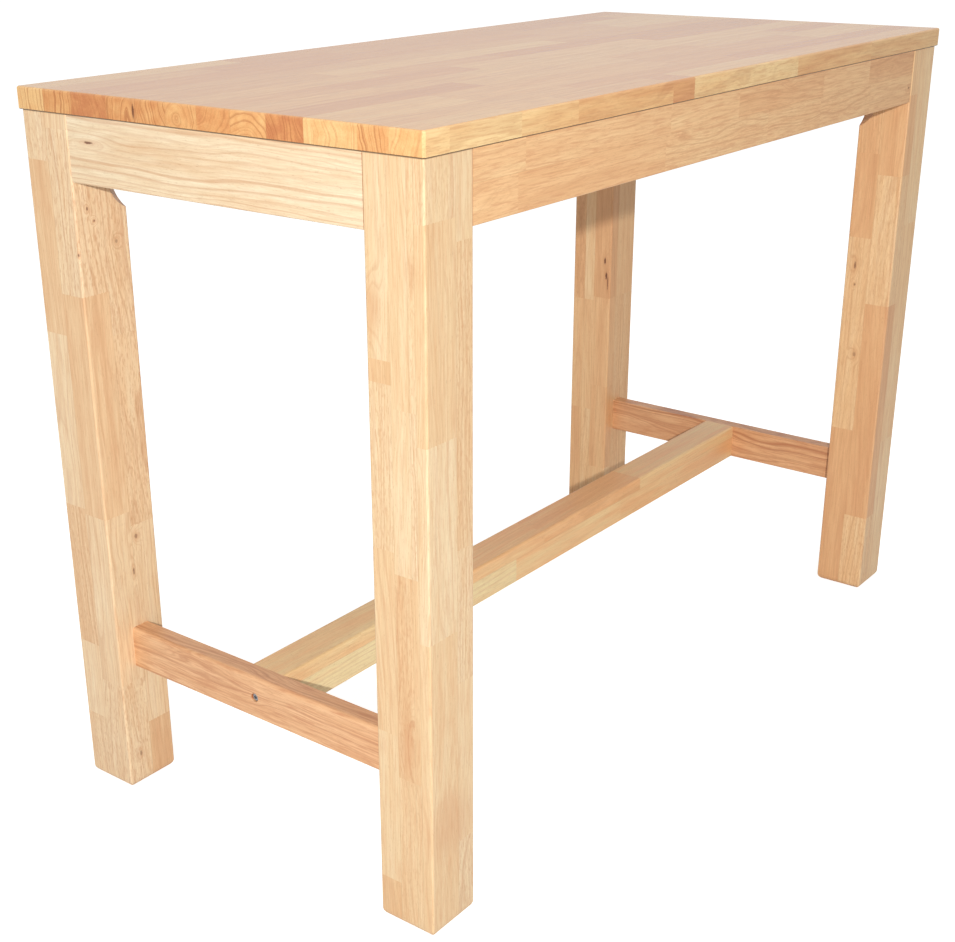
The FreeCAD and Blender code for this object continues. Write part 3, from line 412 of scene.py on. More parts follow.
def knots_on(tree, place, grain, centre, pin_share, knots):
    pin = place_group(tree, pins, Place=place, Spacing=PIN_SPACING, Share=pin_share, Size=PIN_SIZE)
    knot, halo, swirl = pin["Knot"], 0.0, pin["Swirl"]
    for spot, span, dark in knots:
        offset = Euler(TURNS[grain]).to_matrix() @ (Vector(spot) - Vector(centre))
        made = place_group(tree, single, Place=place, Centre=offset, Span=span)
        knot = calc(tree, "MAXIMUM", knot, product(tree, made["Knot"], dark))
        halo = calc(tree, "MAXIMUM", halo, made["Halo"])
        swirl = calc(tree, "ADD", swirl, made["Swirl"])
    return knot, halo, swirl


print("pin knots are", PIN_SIZE * 1000, "mm wide")

# %% [markdown]
# ## The colour of a board
# The block's tone comes first, made a little cloudy. Rings, streaks and fibre darken it, and pores and flecks only
# show on the sides, because on a cut end they are seen end on. Cut ends drink more lacquer, so they are darker and
# warmer. The top's upper face is calmer than its edges, because it is sanded finer and shows mostly shine, and it
# is tinted a little darker and warmer as painted shade, for the way the light falls on it at a grazing angle.

# %% Colour that has grown


def grown_colour(tree, board, tones, tone, hue, grown, cut, upright):
    spread = calc(tree, "MULTIPLY_ADD", calc(tree, "SUBTRACT", grown["Cloud"], 0.5), CLOUDINESS, tone)
    if board["calm"]:
        up_face = fade(tree, upright, 0.6, 0.95)
        veiled = product(tree, up_face, board["calm"])
        spread = calc(tree, "MULTIPLY_ADD", calc(tree, "SUBTRACT", 0.5, spread), veiled, spread)
    colour = tone_ramp(tree, spread, tones)
    # painted shade: the upward face of the top is tinted a little darker and warmer than its edges
    if board["calm"]:
        colour = mix(tree, up_face, colour, mix(tree, 1.0, colour, TOP_PAINTED_SHADE, "MULTIPLY"))
    side = calc(tree, "SUBTRACT", 1.0, cut)
    ring_brown = shade(*board["ring_tone"])
    strength = product(tree, grown["Ring"], fade(tree, hue, 0.0, 1.0, 0.4, 1.0),
                       calc(tree, "MULTIPLY_ADD", cut, board["end_rings"], board["ring_strength"]))
    colour = mix(tree, strength, colour, ring_brown)
    colour = mix(tree, 1.0, colour, tone_ramp(tree, grown["Fibre"], FIBRE_TINTS), "MULTIPLY")
    colour = mix(tree, product(tree, grown["Pores"], side, PORE_SHARE), colour, PORE_BROWN)
    colour = mix(tree, product(tree, grown["Streaks"], side, board["streaks"]), colour, ring_brown)
    speckle = product(tree, grown["Flecks"], fade(tree, hue, 0.45, 0.75, 0.1, 1.0), side, board["flecks"])
    colour = mix(tree, speckle, colour, FLECK_BROWN)
    soaked = mix(tree, 1.0, colour, shade(*board["end_tone"]), "MULTIPLY")
    return mix(tree, product(tree, cut, board["end_share"]), colour, soaked)


print("fibre tints run from", FIBRE_TINTS[0], "to", FIBRE_TINTS[1])

# %% [markdown]
# ## Marks on top of the grain
# Glue lines and knots come after the grain. Then comes painted shade: the eased edge under the top is painted dark
# for the shade it lies in, and the last two millimetres of the legs and aprons below the top get a painted shadow
# line, for the shadow that the top's overhang casts on them in the joint.

# %% Seams, knots and painted shade under the top


def marked_colour(tree, board, colour, seam, halo, knot, upright, height, top_height):
    colour = mix(tree, product(tree, seam, SEAM_SHARE), colour, SEAM_BROWN)
    colour = mix(tree, product(tree, halo, HALO_SHARE), colour, HALO_BROWN)
    colour = mix(tree, product(tree, knot, KNOT_SHARE), colour, KNOT_BROWN)
    # painted shade: the eased edge under the top, which faces down and out, is darkened for the shade it lies in
    if board["dark_arris"]:
        sloped = calc(tree, "COMPARE", upright, ARRIS_SLOPE, 0.25)
        colour = mix(tree, product(tree, sloped, board["dark_arris"]), colour, ARRIS_SHADE)
    # painted shadow: a dark line on the last two millimetres below the top, for the shadow of the top's overhang
    if board["dust"]:
        joint = fade(tree, height, top_height - PAINTED_SHADOW_START, top_height - PAINTED_SHADOW_FULL)
        colour = mix(tree, product(tree, joint, board["dust"]), colour, PAINTED_SHADOW_BROWN)
    return colour


print("marks are laid in this order: glue lines, halos, knots, shade, dust")

# %% [markdown]
# ## The lacquer, and the whole material
# The lacquer is the shader's coat: clear, a little rough, and thin enough that the open pores and glue lines still
# show as tiny dips. Knots are duller than the wood round them.

# %% The wood material


def lacquer(tree, shader, board, grown, knot, seam):
    gloss = calc(tree, "MULTIPLY_ADD", grown["Fibre"], 0.12, board["dullness"] - 0.06)
    dips = calc(tree, "MULTIPLY_ADD", grown["Pores"], -0.7, product(tree, grown["Fibre"], 0.5))
    dips = calc(tree, "MULTIPLY_ADD", seam, -0.4, dips)
    feed(tree, shader, Roughness=calc(tree, "MULTIPLY_ADD", knot, 0.15, gloss), IOR=board["index"],
         Normal=add(tree, "ShaderNodeBump", Strength=0.25, Distance=0.0002, Height=dips)[0],
         Coat_Weight=board["coat"], Coat_Roughness=board["coat_dullness"])


def wood(name, piece, grain, tones, plan=None, knots=(), seed=1.0, **own):
    board = {**BOARD, **own}
    low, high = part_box(piece)
    centre = (low + high) / 2
    material, tree, shader = new_finish(name)
    where = add(tree, "ShaderNodeTexCoord")
    place = turned(tree, where["Object"], "POINT", grain, centre)
    facing = turned(tree, where["Normal"], "NORMAL", grain, centre)
    if plan:
        axis = GRAIN_AXIS[grain]
        tone, key, seam = laid_blocks(tree, place, low[axis], high[axis] - low[axis], seed=seed, **plan)
    else:
        glued = place_group(tree, staves, Place=place, Stave_Width=board["stave_width"], Seed=seed,
                            Layer_Depth=board["layer_depth"], Block_Length=board["block_length"])
        tone, key, seam = None, glued["Key"], glued["Glue Line"]
    lies = place_group(tree, logs, Place=place, Key=key)
    tone = lies["Tone"] if tone is None else tone
    knot, halo, swirl = knots_on(tree, place, grain, centre, board["pin_share"], knots)
    grown = place_group(tree, rings, Log_Place=lies["Log Place"], Ring_Width=board["ring_width"],
                        Wave=board["wave"], Swirl=swirl)
    upright = split(tree, where["Normal"])[2]
    cut = fade(tree, calc(tree, "ABSOLUTE", split(tree, facing)[0]), 0.55, 0.95)
    colour = grown_colour(tree, board, tones, tone, lies["Hue"], grown, cut, upright)
    colour = marked_colour(tree, board, colour, seam, halo, knot, upright, split(tree, where["Object"])[2], high[2])
    plug(tree, colour, shader.inputs["Base Color"])
    lacquer(tree, shader, board, grown, knot, seam)
    dress(piece, material)


print("wood is ready: its groups hold", sum(len(g.nodes) for g in (logs, staves, rings, pins, single)), "nodes")

# %% [markdown]
# ## The top
# The slab is one layer of strips that run the long way, forty to sixty millimetres wide. Their cut ends make the
# row of orange and yellow blocks along the left end, one of them with a short dark crack, and the front strip's
# blocks make the front edge. The left ends and the front strip are laid one by one, and chance lays the rest.

# %% Dress the top
TOP_TONES = [(252, 222, 166), (245, 202, 144), (233, 178, 122), (214, 150, 104)]
END_EDGES = [-0.300, -0.255, -0.173, -0.114, -0.055, 0.003, 0.058, 0.113, 0.168, 0.237, 0.294]
END_LEVELS = [0.4, 0.12, 0.9, 0.42, 0.65, 0.4, 0.55, 0.55, 0.9, 0.5, 0.0]
lay = random.Random(5)
front_row = [(-0.73, 0.22), (-0.686, 0.0), (-0.552, 0.25), (-0.43, 0.5), (-0.20, 0.85), (-0.148, 0.05),
             (0.171, 0.42), (0.434, 0.35)]
top_rows = [front_row]
for level in END_LEVELS:
    row = [(-0.73, level)]
    while row[-1][0] < 0.45:
        row.append((row[-1][0] + lay.uniform(0.22, 0.5), lay.random()))
    top_rows.append(row)
wood("top_wood", "table_top", "x", TOP_TONES, plan={"rows": top_rows, "across_edges": END_EDGES}, seed=3.0,
     end_share=0.8, end_tone=(252, 236, 220), pin_share=0.05, coat=0.3, coat_dullness=0.2, dullness=0.24, index=1.4,
     calm=0.5, dark_arris=0.9, flecks=0.2, wave=0.0045, ring_strength=0.3, ring_tone=(188, 124, 80), end_rings=0.5,
     knots=[((-0.730, 0.117, 1.049), (0.02, 0.003, 0.012), 1.0)])
print("the top has", len(top_rows), "strips and", sum(len(row) for row in top_rows), "blocks")

# %% [markdown]
# ## The legs
# Each leg is glued from layers of sticks. In a plan, the first strips are those of the layer behind the left face,
# from the front one to the back one, and the last strip is the rest of the front face. Heights are from the floor.

# %% Dress the legs
NEAR_LEG_TONES = [(243, 222, 184), (240, 213, 170), (235, 200, 154), (226, 184, 137)]
LEFT_LEG_TONES = [(252, 232, 197), (250, 224, 184), (245, 211, 167), (234, 191, 146)]
FAR_LEG_TONES = [(252, 222, 176), (248, 210, 160), (242, 196, 146), (230, 178, 130)]
near_leg = {"across_edges": [-0.029, -0.019, 0.009], "deep_edges": [-0.011], "rows": [
    [(0, 0.45), (0.437, 0.15), (0.698, 0.5), (0.962, 0.3)],
    [(0, 0.4), (0.231, 0.5), (0.523, 0.1), (0.736, 0.35)],
    [(0, 0.45), (0.231, 0.62), (0.523, 0.15), (0.736, 0.28)],
    [(0, 0.7), (0.065, 0.35), (0.293, 0.5), (0.55, 0.22), (0.767, 0.65), (0.796, 0.2)],
    [(0, 0.05), (0.122, 0.3), (0.361, 0.2), (0.546, 0.42), (0.93, 0.3)]]}
back_left_leg = {"across_edges": [0.0], "deep_edges": [0.0], "rows": [
    [(0, 0.3), (0.179, 0.35), (0.455, 0.75), (0.788, 0.3), (1.014, 0.35)],
    [(0, 0.4), (0.113, 0.28), (0.236, 0.68), (0.463, 0.22), (0.726, 0.72), (0.968, 0.2)],
    [(0, 0.9), (0.1, 0.3), (0.43, 0.5), (0.72, 0.35), (0.95, 0.45)]]}
front_right_leg = {"across_edges": [0.0], "deep_edges": [0.012], "rows": [
    [(0, 0.25), (0.152, 0.85), (0.577, 0.2), (0.816, 0.7), (0.955, 0.3)],
    [(0, 0.8), (0.326, 0.3), (0.697, 0.75), (0.85, 0.6)],
    [(0, 0.08), (0.30, 0.25), (0.72, 0.1)]]}
back_right_leg = {"across_edges": [-0.0055, 0.017], "deep_edges": [0.02], "rows": [
    [(0, 0.3), (0.12, 0.6), (0.305, 0.55), (0.498, 0.8)],
    [(0, 0.25), (0.25, 0.45), (0.49, 0.15)],
    [(0, 0.65), (0.25, 0.5), (0.493, 0.7)],
    [(0, 0.35), (0.5, 0.45)]]}
wood("near_leg_wood", "leg_front_left", "z", NEAR_LEG_TONES, plan=near_leg, dust=0.7, seed=5.0, knots=[
    ((-0.726, -0.266, 0.857), (0.016, 0.006, 0.02), 0.0), ((-0.726, -0.308, 0.282), (0.022, 0.007, 0.02), 0.0),
    ((-0.686, -0.346, 0.164), (0.022, 0.007, 0.02), 0.0)])
wood("back_left_leg_wood", "leg_back_left", "z", LEFT_LEG_TONES, plan=back_left_leg, dust=0.7, seed=8.0,
     flecks=0.4, knots=[
    ((-0.705, 0.256, 0.907), (0.003, 0.002, 0.002), 0.9), ((-0.726, 0.257, 0.847), (0.003, 0.0025, 0.002), 0.9),
    ((-0.695, 0.256, 0.889), (0.002, 0.002, 0.002), 0.8), ((-0.66, 0.256, 0.855), (0.004, 0.003, 0.003), 0.5),
    ((-0.673, 0.256, 0.414), (0.005, 0.004, 0.004), 0.6), ((-0.683, 0.256, 0.360), (0.007, 0.003, 0.002), 0.8),
    ((-0.702, 0.256, 0.054), (0.006, 0.003, 0.003), 0.6)])
wood("front_right_leg_wood", "leg_front_right", "z", FAR_LEG_TONES, plan=front_right_leg, dust=0.7, seed=13.0, knots=[
    ((0.636, -0.274, 0.646), (0.009, 0.003, 0.004), 0.8), ((0.636, -0.289, 0.477), (0.006, 0.004, 0.005), 0.5),
    ((0.636, -0.277, 0.61), (0.003, 0.002, 0.002), 0.7)])
wood("back_right_leg_wood", "leg_back_right", "z", FAR_LEG_TONES, plan=back_right_leg, dust=0.7, seed=21.0, knots=[
    ((0.636, 0.270, 0.579), (0.009, 0.003, 0.0022), 1.1), ((0.636, 0.266, 0.548), (0.011, 0.003, 0.0024), 1.1),
    ((0.636, 0.262, 0.535), (0.022, 0.002, 0.0016), 0.8)])
print("the near leg has", sum(len(row) for row in near_leg["rows"]), "blocks")

# %% [markdown]
# ## The aprons
# The long apron is two strips, one above the other, with wavy lines and short joints, and it gets warmer towards
# the far end. The end apron is one pale board with fine lines along it and one short dark knot near its left end.

# %% Dress the aprons
APRON_TONES = [(252, 218, 166), (248, 206, 154), (242, 194, 142), (232, 178, 126)]
END_APRON_TONES = [(255, 250, 228), (254, 244, 217), (250, 234, 202), (241, 214, 176)]
long_plan = {"deep_edges": [0.004], "rows": [
    [(-0.636, 0.3), (-0.532, 0.45), (-0.198, 0.35), (0.0, 0.62), (0.277, 0.4), (0.452, 0.7)],
    [(-0.636, 0.4), (-0.55, 0.6), (-0.207, 0.3), (0.09, 0.42), (0.271, 0.35), (0.462, 0.45)]]}
wood("front_apron_wood", "long_apron_front", "x", APRON_TONES, plan=long_plan, seed=31.0, wave=0.007,
     flecks=0.15, streaks=0.5, ring_tone=(202, 142, 98), dust=0.7,
     knots=[((0.626, -0.345, 0.972), (0.004, 0.002, 0.003), 0.8)])
wood("back_apron_wood", "long_apron_back", "x", APRON_TONES, stave_width=0.2, layer_depth=0.045, block_length=0.3,
     seed=34.0, wave=0.007, dust=0.7)
for piece, seed, side in (("end_apron_left", 37.0, -0.725), ("end_apron_right", 41.0, 0.725)):
    wood(piece + "_wood", piece, "y", END_APRON_TONES, stave_width=0.3, layer_depth=0.3, block_length=2.2,
         seed=seed, ring_width=0.006, pin_share=0.0, flecks=0.05, streaks=0.08, dust=0.7,
         knots=[((side, 0.216, 1.001), (0.011, 0.004, 0.0022), 1.0)])
print("the long apron has", sum(len(row) for row in long_plan["rows"]), "blocks in two strips")

# %% [markdown]
# ## The stretchers and the rail
# The low end stretchers are the warmest wood on the table, almost pink, and each is one board. The rail between
# them is paler and has a redder upper face.

# %% Dress the stretchers and the rail
STRETCHER_TONES = [(252, 212, 168), (246, 200, 154), (237, 186, 139), (226, 170, 124)]
RAIL_TONES = [(255, 238, 187), (255, 223, 168), (255, 205, 149), (250, 190, 133)]
FAR_STRETCHER_TONES = [(255, 224, 178), (252, 212, 164), (244, 196, 148), (230, 176, 130)]
for piece, seed, tones, width, strength in (
        ("end_stretcher_left", 43.0, STRETCHER_TONES, 0.007, 0.8),
        ("end_stretcher_right", 47.0, FAR_STRETCHER_TONES, 0.010, 0.85)):
    wood(piece + "_wood", piece, "y", tones, stave_width=0.3, layer_depth=0.3, block_length=2.0, seed=seed,
         ring_width=width, ring_strength=strength, ring_tone=(190, 124, 84), wave=0.012, pin_share=0.05,
         flecks=0.1, streaks=0.5)
rail_plan = {"deep_edges": [0.010], "rows": [
    [(-0.666, 0.35), (-0.3, 0.6), (-0.02, 0.75), (0.3, 0.5)],
    [(-0.666, 0.0), (-0.1, 0.5), (0.23, 0.6)]]}
wood("rail_wood", "centre_rail", "x", RAIL_TONES, plan=rail_plan, seed=53.0, ring_width=0.005, ring_strength=0.2,
     streaks=0.1, flecks=0.1)
print("the rail has", sum(len(row) for row in rail_plan["rows"]), "blocks in two strips")

# %% [markdown]
# ## Corner blocks and dowels
# The blocks behind the legs and the dowels stay out of sight, are not lacquered, and are plainer wood.

# %% Dress the blocks and dowels
PLAIN_TONES = [(240, 200, 152), (232, 188, 140), (222, 174, 128), (212, 160, 116)]
plain = [(n, "z", 61.0) for n in pieces if n.startswith("corner_block_") and n != "corner_block_screws"]
plain += [(n, "x", 67.0) for n in ("long_apron_dowels", "rail_dowels")]
for piece, grain, seed in plain:
    wood(piece + "_wood", piece, grain, PLAIN_TONES, stave_width=0.2, layer_depth=0.2, block_length=0.9, seed=seed,
         coat=0.0, dullness=0.6)
print(len(plain), "hidden pieces of bare wood")

# %% [markdown]
# ## Zinc-plated steel
# Bolts, washers, nuts, screws and brackets are plated with zinc: a light grey metal, slightly blue, with a fine
# spangle and scuffs from tools. A metal is all reflection, so its colour goes into the base colour, and the
# unevenness of the plating goes into the roughness and a faint bump.

# %% Dress the steel fittings
STEELS = {"bolt": ((190, 192, 196), 0.30), "washer": ((178, 181, 186), 0.36), "nut": ((192, 188, 176), 0.38),
          "screw": ((186, 184, 178), 0.34), "bracket": ((174, 178, 184), 0.40)}


def plated_steel(name, tone, dullness):
    material, tree, shader = new_finish(name)
    place = add(tree, "ShaderNodeTexCoord")["Object"]
    spangle = noise(tree, place, 900.0, 2.0, 0.6)
    scuff = noise(tree, vector_calc(tree, "MULTIPLY", place, (260.0, 60.0, 260.0)), 1.0, 3.0, 0.6)
    bright = tone_ramp(tree, spangle, [tuple(int(v * 0.86) for v in tone), tone])
    plug(tree, mix(tree, fade(tree, scuff, 0.62, 0.72), bright, shade(150, 146, 138)), shader.inputs["Base Color"])
    plug(tree, calc(tree, "MULTIPLY_ADD", scuff, 0.25, dullness - 0.10), shader.inputs["Roughness"])
    dents = add(tree, "ShaderNodeBump", Strength=0.15, Distance=0.0001, Height=spangle)[0]
    feed(tree, shader, Normal=dents, Metallic=1.0)
    return material


steels = {kind: plated_steel(kind + "_steel", tone, dull) for kind, (tone, dull) in STEELS.items()}
FITTINGS = {"leg_bolts": "bolt", "rail_bolts": "bolt", "leg_bolt_flat_washers": "washer",
            "leg_bolt_spring_washers": "washer", "rail_bolt_washers": "washer", "leg_insert_nuts": "nut",
            "rail_barrel_nuts": "nut", "corner_block_screws": "screw", "top_screws": "screw",
            "bracket_screws": "screw", "top_brackets": "bracket"}
for name, kind in FITTINGS.items():
    dress(name, steels[kind])
print(len(steels), "steels on", len(FITTINGS), "groups of fittings")

# %% [markdown]
# ## Bolts and screws, turned and set by rule
# The model's bolts and screws are kept plain for the physics: a few flats for a round and no thread. The real ones
# are all of one kind: a shank with a thread, a seat, a head with a rounded edge, and a socket for the key or a
# cross for the screwdriver. So one Geometry Nodes tree makes them all from their sizes. A dozen separate screw
# models would drift apart. These helpers start a tree with named inputs, pull a face out, widen it, and move
# points.

# %% Helpers for geometry trees


def geometry_tree(name, *sizes):
    shape = [("Geometry", "Geometry")]
    takes = shape + [(size, "Float") for size in sizes] + [("Sides", "Int"), ("Steel", "Material")]
    return new_group(name, takes, shape, "GeometryNodeTree")


def pull_face(tree, mesh, face, distance):
    made = add(tree, "GeometryNodeExtrudeMesh", Mesh=mesh, Selection=face, Offset_Scale=distance, Individual=False)
    return made["Mesh"], made["Top"]


def widen_face(tree, mesh, face, ratio):
    return add(tree, "GeometryNodeScaleElements", Geometry=mesh, Selection=face, Scale=ratio)["Geometry"]


def put_points(tree, mesh, chosen, place):
    return add(tree, "GeometryNodeSetPosition", Geometry=mesh, Selection=chosen, Position=place)["Geometry"]


def polar(tree):
    place = add(tree, "GeometryNodeInputPosition")[0]
    x, y, z = split(tree, place)
    return place, calc(tree, "ARCTAN2", y, x), z


print("geometry helpers ready")

# %% [markdown]
# ## One shape on every point
# A fitting's points carry an arrow named way, which says where its head looks. The shape is made once, upright,
# and a copy goes on each point, turned along the arrow. Copies are only references, and the export drops those,
# so they are made real at the end, and the material is set last of all.

# %% Set a shape on every point


def set_on_points(tree, mesh, points, steel, result):
    way = tree.nodes.new("GeometryNodeInputNamedAttribute")
    way.data_type = "FLOAT_VECTOR"
    turn = tree.nodes.new("FunctionNodeAlignRotationToVector")
    turn.axis = "Z"
    arrow = feed(tree, way, Name="way")["Attribute"]
    copies = add(tree, "GeometryNodeInstanceOnPoints", Points=points, Instance=mesh,
                 Rotation=feed(tree, turn, Vector=arrow)[0])
    real = add(tree, "GeometryNodeRealizeInstances", Geometry=copies[0])
    plug(tree, add(tree, "GeometryNodeSetMaterial", Geometry=real[0], Material=steel)[0], result["Geometry"])


print("a shape's upright axis follows its point's arrow")

# %% [markdown]
# ## The threaded shank
# The shank is a closed cylinder with four rows of points to each turn of the thread. A point's height and its
# angle together say how far along the thread it is, and a zigzag of that pulls it inwards. So the thread climbs,
# as a real one does, and it never stands out past the plain shank. Heights are counted from the seat, where the
# head begins, so the finished shank is moved down by half its length.

# %% The shank of the fastener tree
fasteners, given, result = geometry_tree(
    "turned_fastener", "Head Radius", "Head Height", "Rounding", "Shank Radius", "Shank Length", "Thread Pitch",
    "Thread Depth", "Socket Width", "Socket Depth", "Cross")
ROWS_A_TURN, THREADED_HALF = 4.0, 0.495
turns = calc(fasteners, "DIVIDE", given["Shank Length"], given["Thread Pitch"])
blank = add(fasteners, "GeometryNodeMeshCylinder", Vertices=given["Sides"], Radius=given["Shank Radius"],
            Side_Segments=product(fasteners, turns, ROWS_A_TURN), Depth=given["Shank Length"])
place, angle, z = polar(fasteners)
climb = calc(fasteners, "ADD", calc(fasteners, "DIVIDE", z, given["Thread Pitch"]),
             calc(fasteners, "DIVIDE", angle, 2 * math.pi))
groove = product(fasteners, calc(fasteners, "PINGPONG", climb, 0.5), 2.0,
                 calc(fasteners, "DIVIDE", given["Thread Depth"], given["Shank Radius"]))
keep = calc(fasteners, "SUBTRACT", 1.0, groove)
inside = calc(fasteners, "LESS_THAN", calc(fasteners, "ABSOLUTE", z),
              product(fasteners, given["Shank Length"], THREADED_HALF))
mesh = put_points(fasteners, blank["Mesh"], inside,
                  vector_calc(fasteners, "MULTIPLY", place, join(fasteners, keep, keep, 1.0)))
below = join(fasteners, 0.0, 0.0, product(fasteners, given["Shank Length"], -0.5))
mesh = add(fasteners, "GeometryNodeTransform", Geometry=mesh, Translation=below)["Geometry"]
print("the shank takes", len(fasteners.nodes), "nodes")

# %% [markdown]
# ## The head and its socket
# The cylinder's top face is pulled and widened in steps: out flat to make the seat, up for the head, up and in a
# little for the rounded edge, and in flat to the socket's mouth. The points of the mouth are then moved on to a
# hexagon or a cross, which works because their number divides by six and by four, and the face is pushed down.
# Nothing is cut with a second shape, so the shell stays closed.

# %% The head of the fastener tree
ARM_ANGLE, ARM_WAIST = math.radians(20), 0.6
crown = calc(fasteners, "SUBTRACT", given["Head Radius"], given["Rounding"])
mouth = calc(fasteners, "DIVIDE", given["Socket Width"], math.sqrt(3.0))
steps = ((0.0, calc(fasteners, "DIVIDE", given["Head Radius"], given["Shank Radius"])),
         (calc(fasteners, "SUBTRACT", given["Head Height"], given["Rounding"]), 1.0),
         (given["Rounding"], calc(fasteners, "DIVIDE", crown, given["Head Radius"])),
         (0.0, calc(fasteners, "DIVIDE", mouth, crown)))
face = blank["Top"]
for distance, ratio in steps:
    mesh, face = pull_face(fasteners, mesh, face, distance)
    mesh = widen_face(fasteners, mesh, face, ratio)
place, angle, z = polar(fasteners)
sixth = calc(fasteners, "SUBTRACT", calc(fasteners, "FLOORED_MODULO", angle, math.pi / 3), math.pi / 6)
hexagon = calc(fasteners, "DIVIDE", math.cos(math.pi / 6), calc(fasteners, "COSINE", sixth))
quarter = calc(fasteners, "PINGPONG", angle, math.pi / 4)
between_arms = calc(fasteners, "GREATER_THAN", quarter, ARM_ANGLE)
star = calc(fasteners, "SUBTRACT", 1.0, product(fasteners, between_arms, ARM_WAIST))
ratio = calc(fasteners, "MULTIPLY_ADD", calc(fasteners, "SUBTRACT", star, hexagon), given["Cross"], hexagon)
drawn_in = vector_calc(fasteners, "MULTIPLY", place, join(fasteners, ratio, ratio, 1.0))
mesh = put_points(fasteners, mesh, face, drawn_in)
mesh, face = pull_face(fasteners, mesh, face, product(fasteners, given["Socket Depth"], -1.0))
set_on_points(fasteners, mesh, given["Geometry"], given["Steel"], result)
print("the whole turned_fastener tree has", len(fasteners.nodes), "nodes")

# %% [markdown]
# ## Washers
# A washer is a flat bar bent round into a ring. A flat washer closes, and a spring washer stops short of itself
# and climbs a little on the way round, so that its two ends bite. The same tree makes both: an arc for the bar's
# line, a rectangle for its section, and a climb that is nought for a flat washer, whose slit is a hair wide.

# %% The washer tree
washers, given, result = geometry_tree("bent_washer", "Outer Radius", "Inner Radius", "Thickness", "Slit", "Climb")
middle = product(washers, calc(washers, "ADD", given["Outer Radius"], given["Inner Radius"]), 0.5)
opening = calc(washers, "DIVIDE", given["Slit"], middle)
arc = add(washers, "GeometryNodeCurveArc", Resolution=given["Sides"], Radius=middle,
          Start_Angle=product(washers, opening, 0.5), Sweep_Angle=calc(washers, "SUBTRACT", 2 * math.pi, opening))
share = calc(washers, "SUBTRACT", add(washers, "GeometryNodeSplineParameter")["Factor"], 0.5)
height = calc(washers, "MULTIPLY_ADD", given["Thickness"], 0.5, product(washers, share, given["Climb"]))
lifted = vector_calc(washers, "ADD", polar(washers)[0], join(washers, 0.0, 0.0, height))
section = add(washers, "GeometryNodeCurvePrimitiveQuadrilateral", Height=given["Thickness"],
              Width=calc(washers, "SUBTRACT", given["Outer Radius"], given["Inner Radius"]))
ring_mesh = add(washers, "GeometryNodeCurveToMesh", Curve=put_points(washers, arc["Curve"], True, lifted),
                Profile_Curve=section[0], Fill_Caps=True)[0]
set_on_points(washers, ring_mesh, given["Geometry"], given["Steel"], result)
print("bent_washer has", len(washers.nodes), "nodes")

# %% [markdown]
# ## From a tree to a plain piece
# The fittings repeat in all four corners, so each place is given once, for the corner towards +X and +Y, and
# mirrored into the others. The tree runs once on the points. Its inputs are set by the sockets' identifiers
# before that, and its result is kept as a plain mesh that the modifier no longer touches. The plain model of the
# same fitting is then hidden behind it, and stays as it is for the physics.

# %% Make and place a set of fittings


def mirrored(spots, both_ways):
    for x, y, z, way in spots:
        for side_x in (-1, 1):
            for side_y in (-1, 1) if both_ways else (1,):
                yield (side_x * x, side_y * y, z), (side_x * way[0], side_y * way[1], way[2])


def made_by_tree(name, tree, places, ways, sizes):
    points = bpy.data.meshes.new(name + "_points")
    points.from_pydata(places, [], [])
    arrows = points.attributes.new("way", "FLOAT_VECTOR", "POINT")
    for arrow, way in zip(arrows.data, ways):
        arrow.vector = way
    maker = bpy.data.objects.new(name + "_maker", points)
    bpy.context.scene.collection.objects.link(maker)
    modifier = maker.modifiers.new(name, "NODES")
    modifier.node_group = tree
    titles = {item.name: item.identifier for item in tree.interface.items_tree if item.in_out == "INPUT"}
    for title, value in sizes.items():
        modifier[titles[title.replace("_", " ")]] = value
    maker.update_tag()
    seen = maker.evaluated_get(bpy.context.evaluated_depsgraph_get())
    mesh = bpy.data.meshes.new_from_object(seen)
    bpy.data.objects.remove(maker)
    mesh.name = name
    return mesh


def set_fittings(name, node, tree, spots, both_ways=True, **sizes):
    places, ways = zip(*mirrored(spots, both_ways))
    mesh = made_by_tree(name, tree, places, ways, {**sizes, "Steel": steels[FITTINGS[node]]})
    piece = bpy.data.objects.new(name, mesh)
    bpy.context.scene.collection.objects.link(piece)
    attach(piece, "root")
    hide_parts(node)
    low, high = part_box(node)
    own_low, own_high = ([pick(v.co[i] for v in mesh.vertices) for i in range(3)] for pick in (min, max))
    past = max(max(a - b, c - d) for a, b, c, d in zip(low, own_low, own_high, high))
    print(name, len(places), "pieces,", len(mesh.polygons), "faces, past the model's box by",
          round(past * 1000, 2), "mm")


print("fittings can be made from", fasteners.name, "and", washers.name)

# %% [markdown]
# ## Bolts and their washers
# Two bolts go through each corner block into the leg, straight across its corner, so their distances are counted
# from the leg's outer corner along the diagonal. Each bears on a spring washer, and that on a flat washer. One
# bolt of the same thread goes through each end stretcher into the rail, and its head can be seen in its recess.

# %% Set the bolts and washers
DIAGONAL = 1 / math.sqrt(2.0)
CORNER_X, CORNER_Y = 0.726, 0.346
FLAT_BACK, SPRING_BACK, BOLT_SEAT = 0.13628, 0.13788, 0.13988
BOLT_HEIGHTS = (0.986, 1.018)
RAIL_HEIGHT = 0.2375
BOLT = {"Shank_Radius": 0.004, "Shank_Length": 0.06, "Thread_Pitch": 0.00125, "Thread_Depth": 0.0006,
        "Cross": 0.0, "Sides": 24}
FLAT = {"Inner_Radius": 0.0043, "Slit": 0.00002, "Climb": 0.0, "Sides": 33}


def across_corner(distance):
    x, y = CORNER_X - distance * DIAGONAL, CORNER_Y - distance * DIAGONAL
    return [(x, y, z, (-DIAGONAL, -DIAGONAL, 0)) for z in BOLT_HEIGHTS]


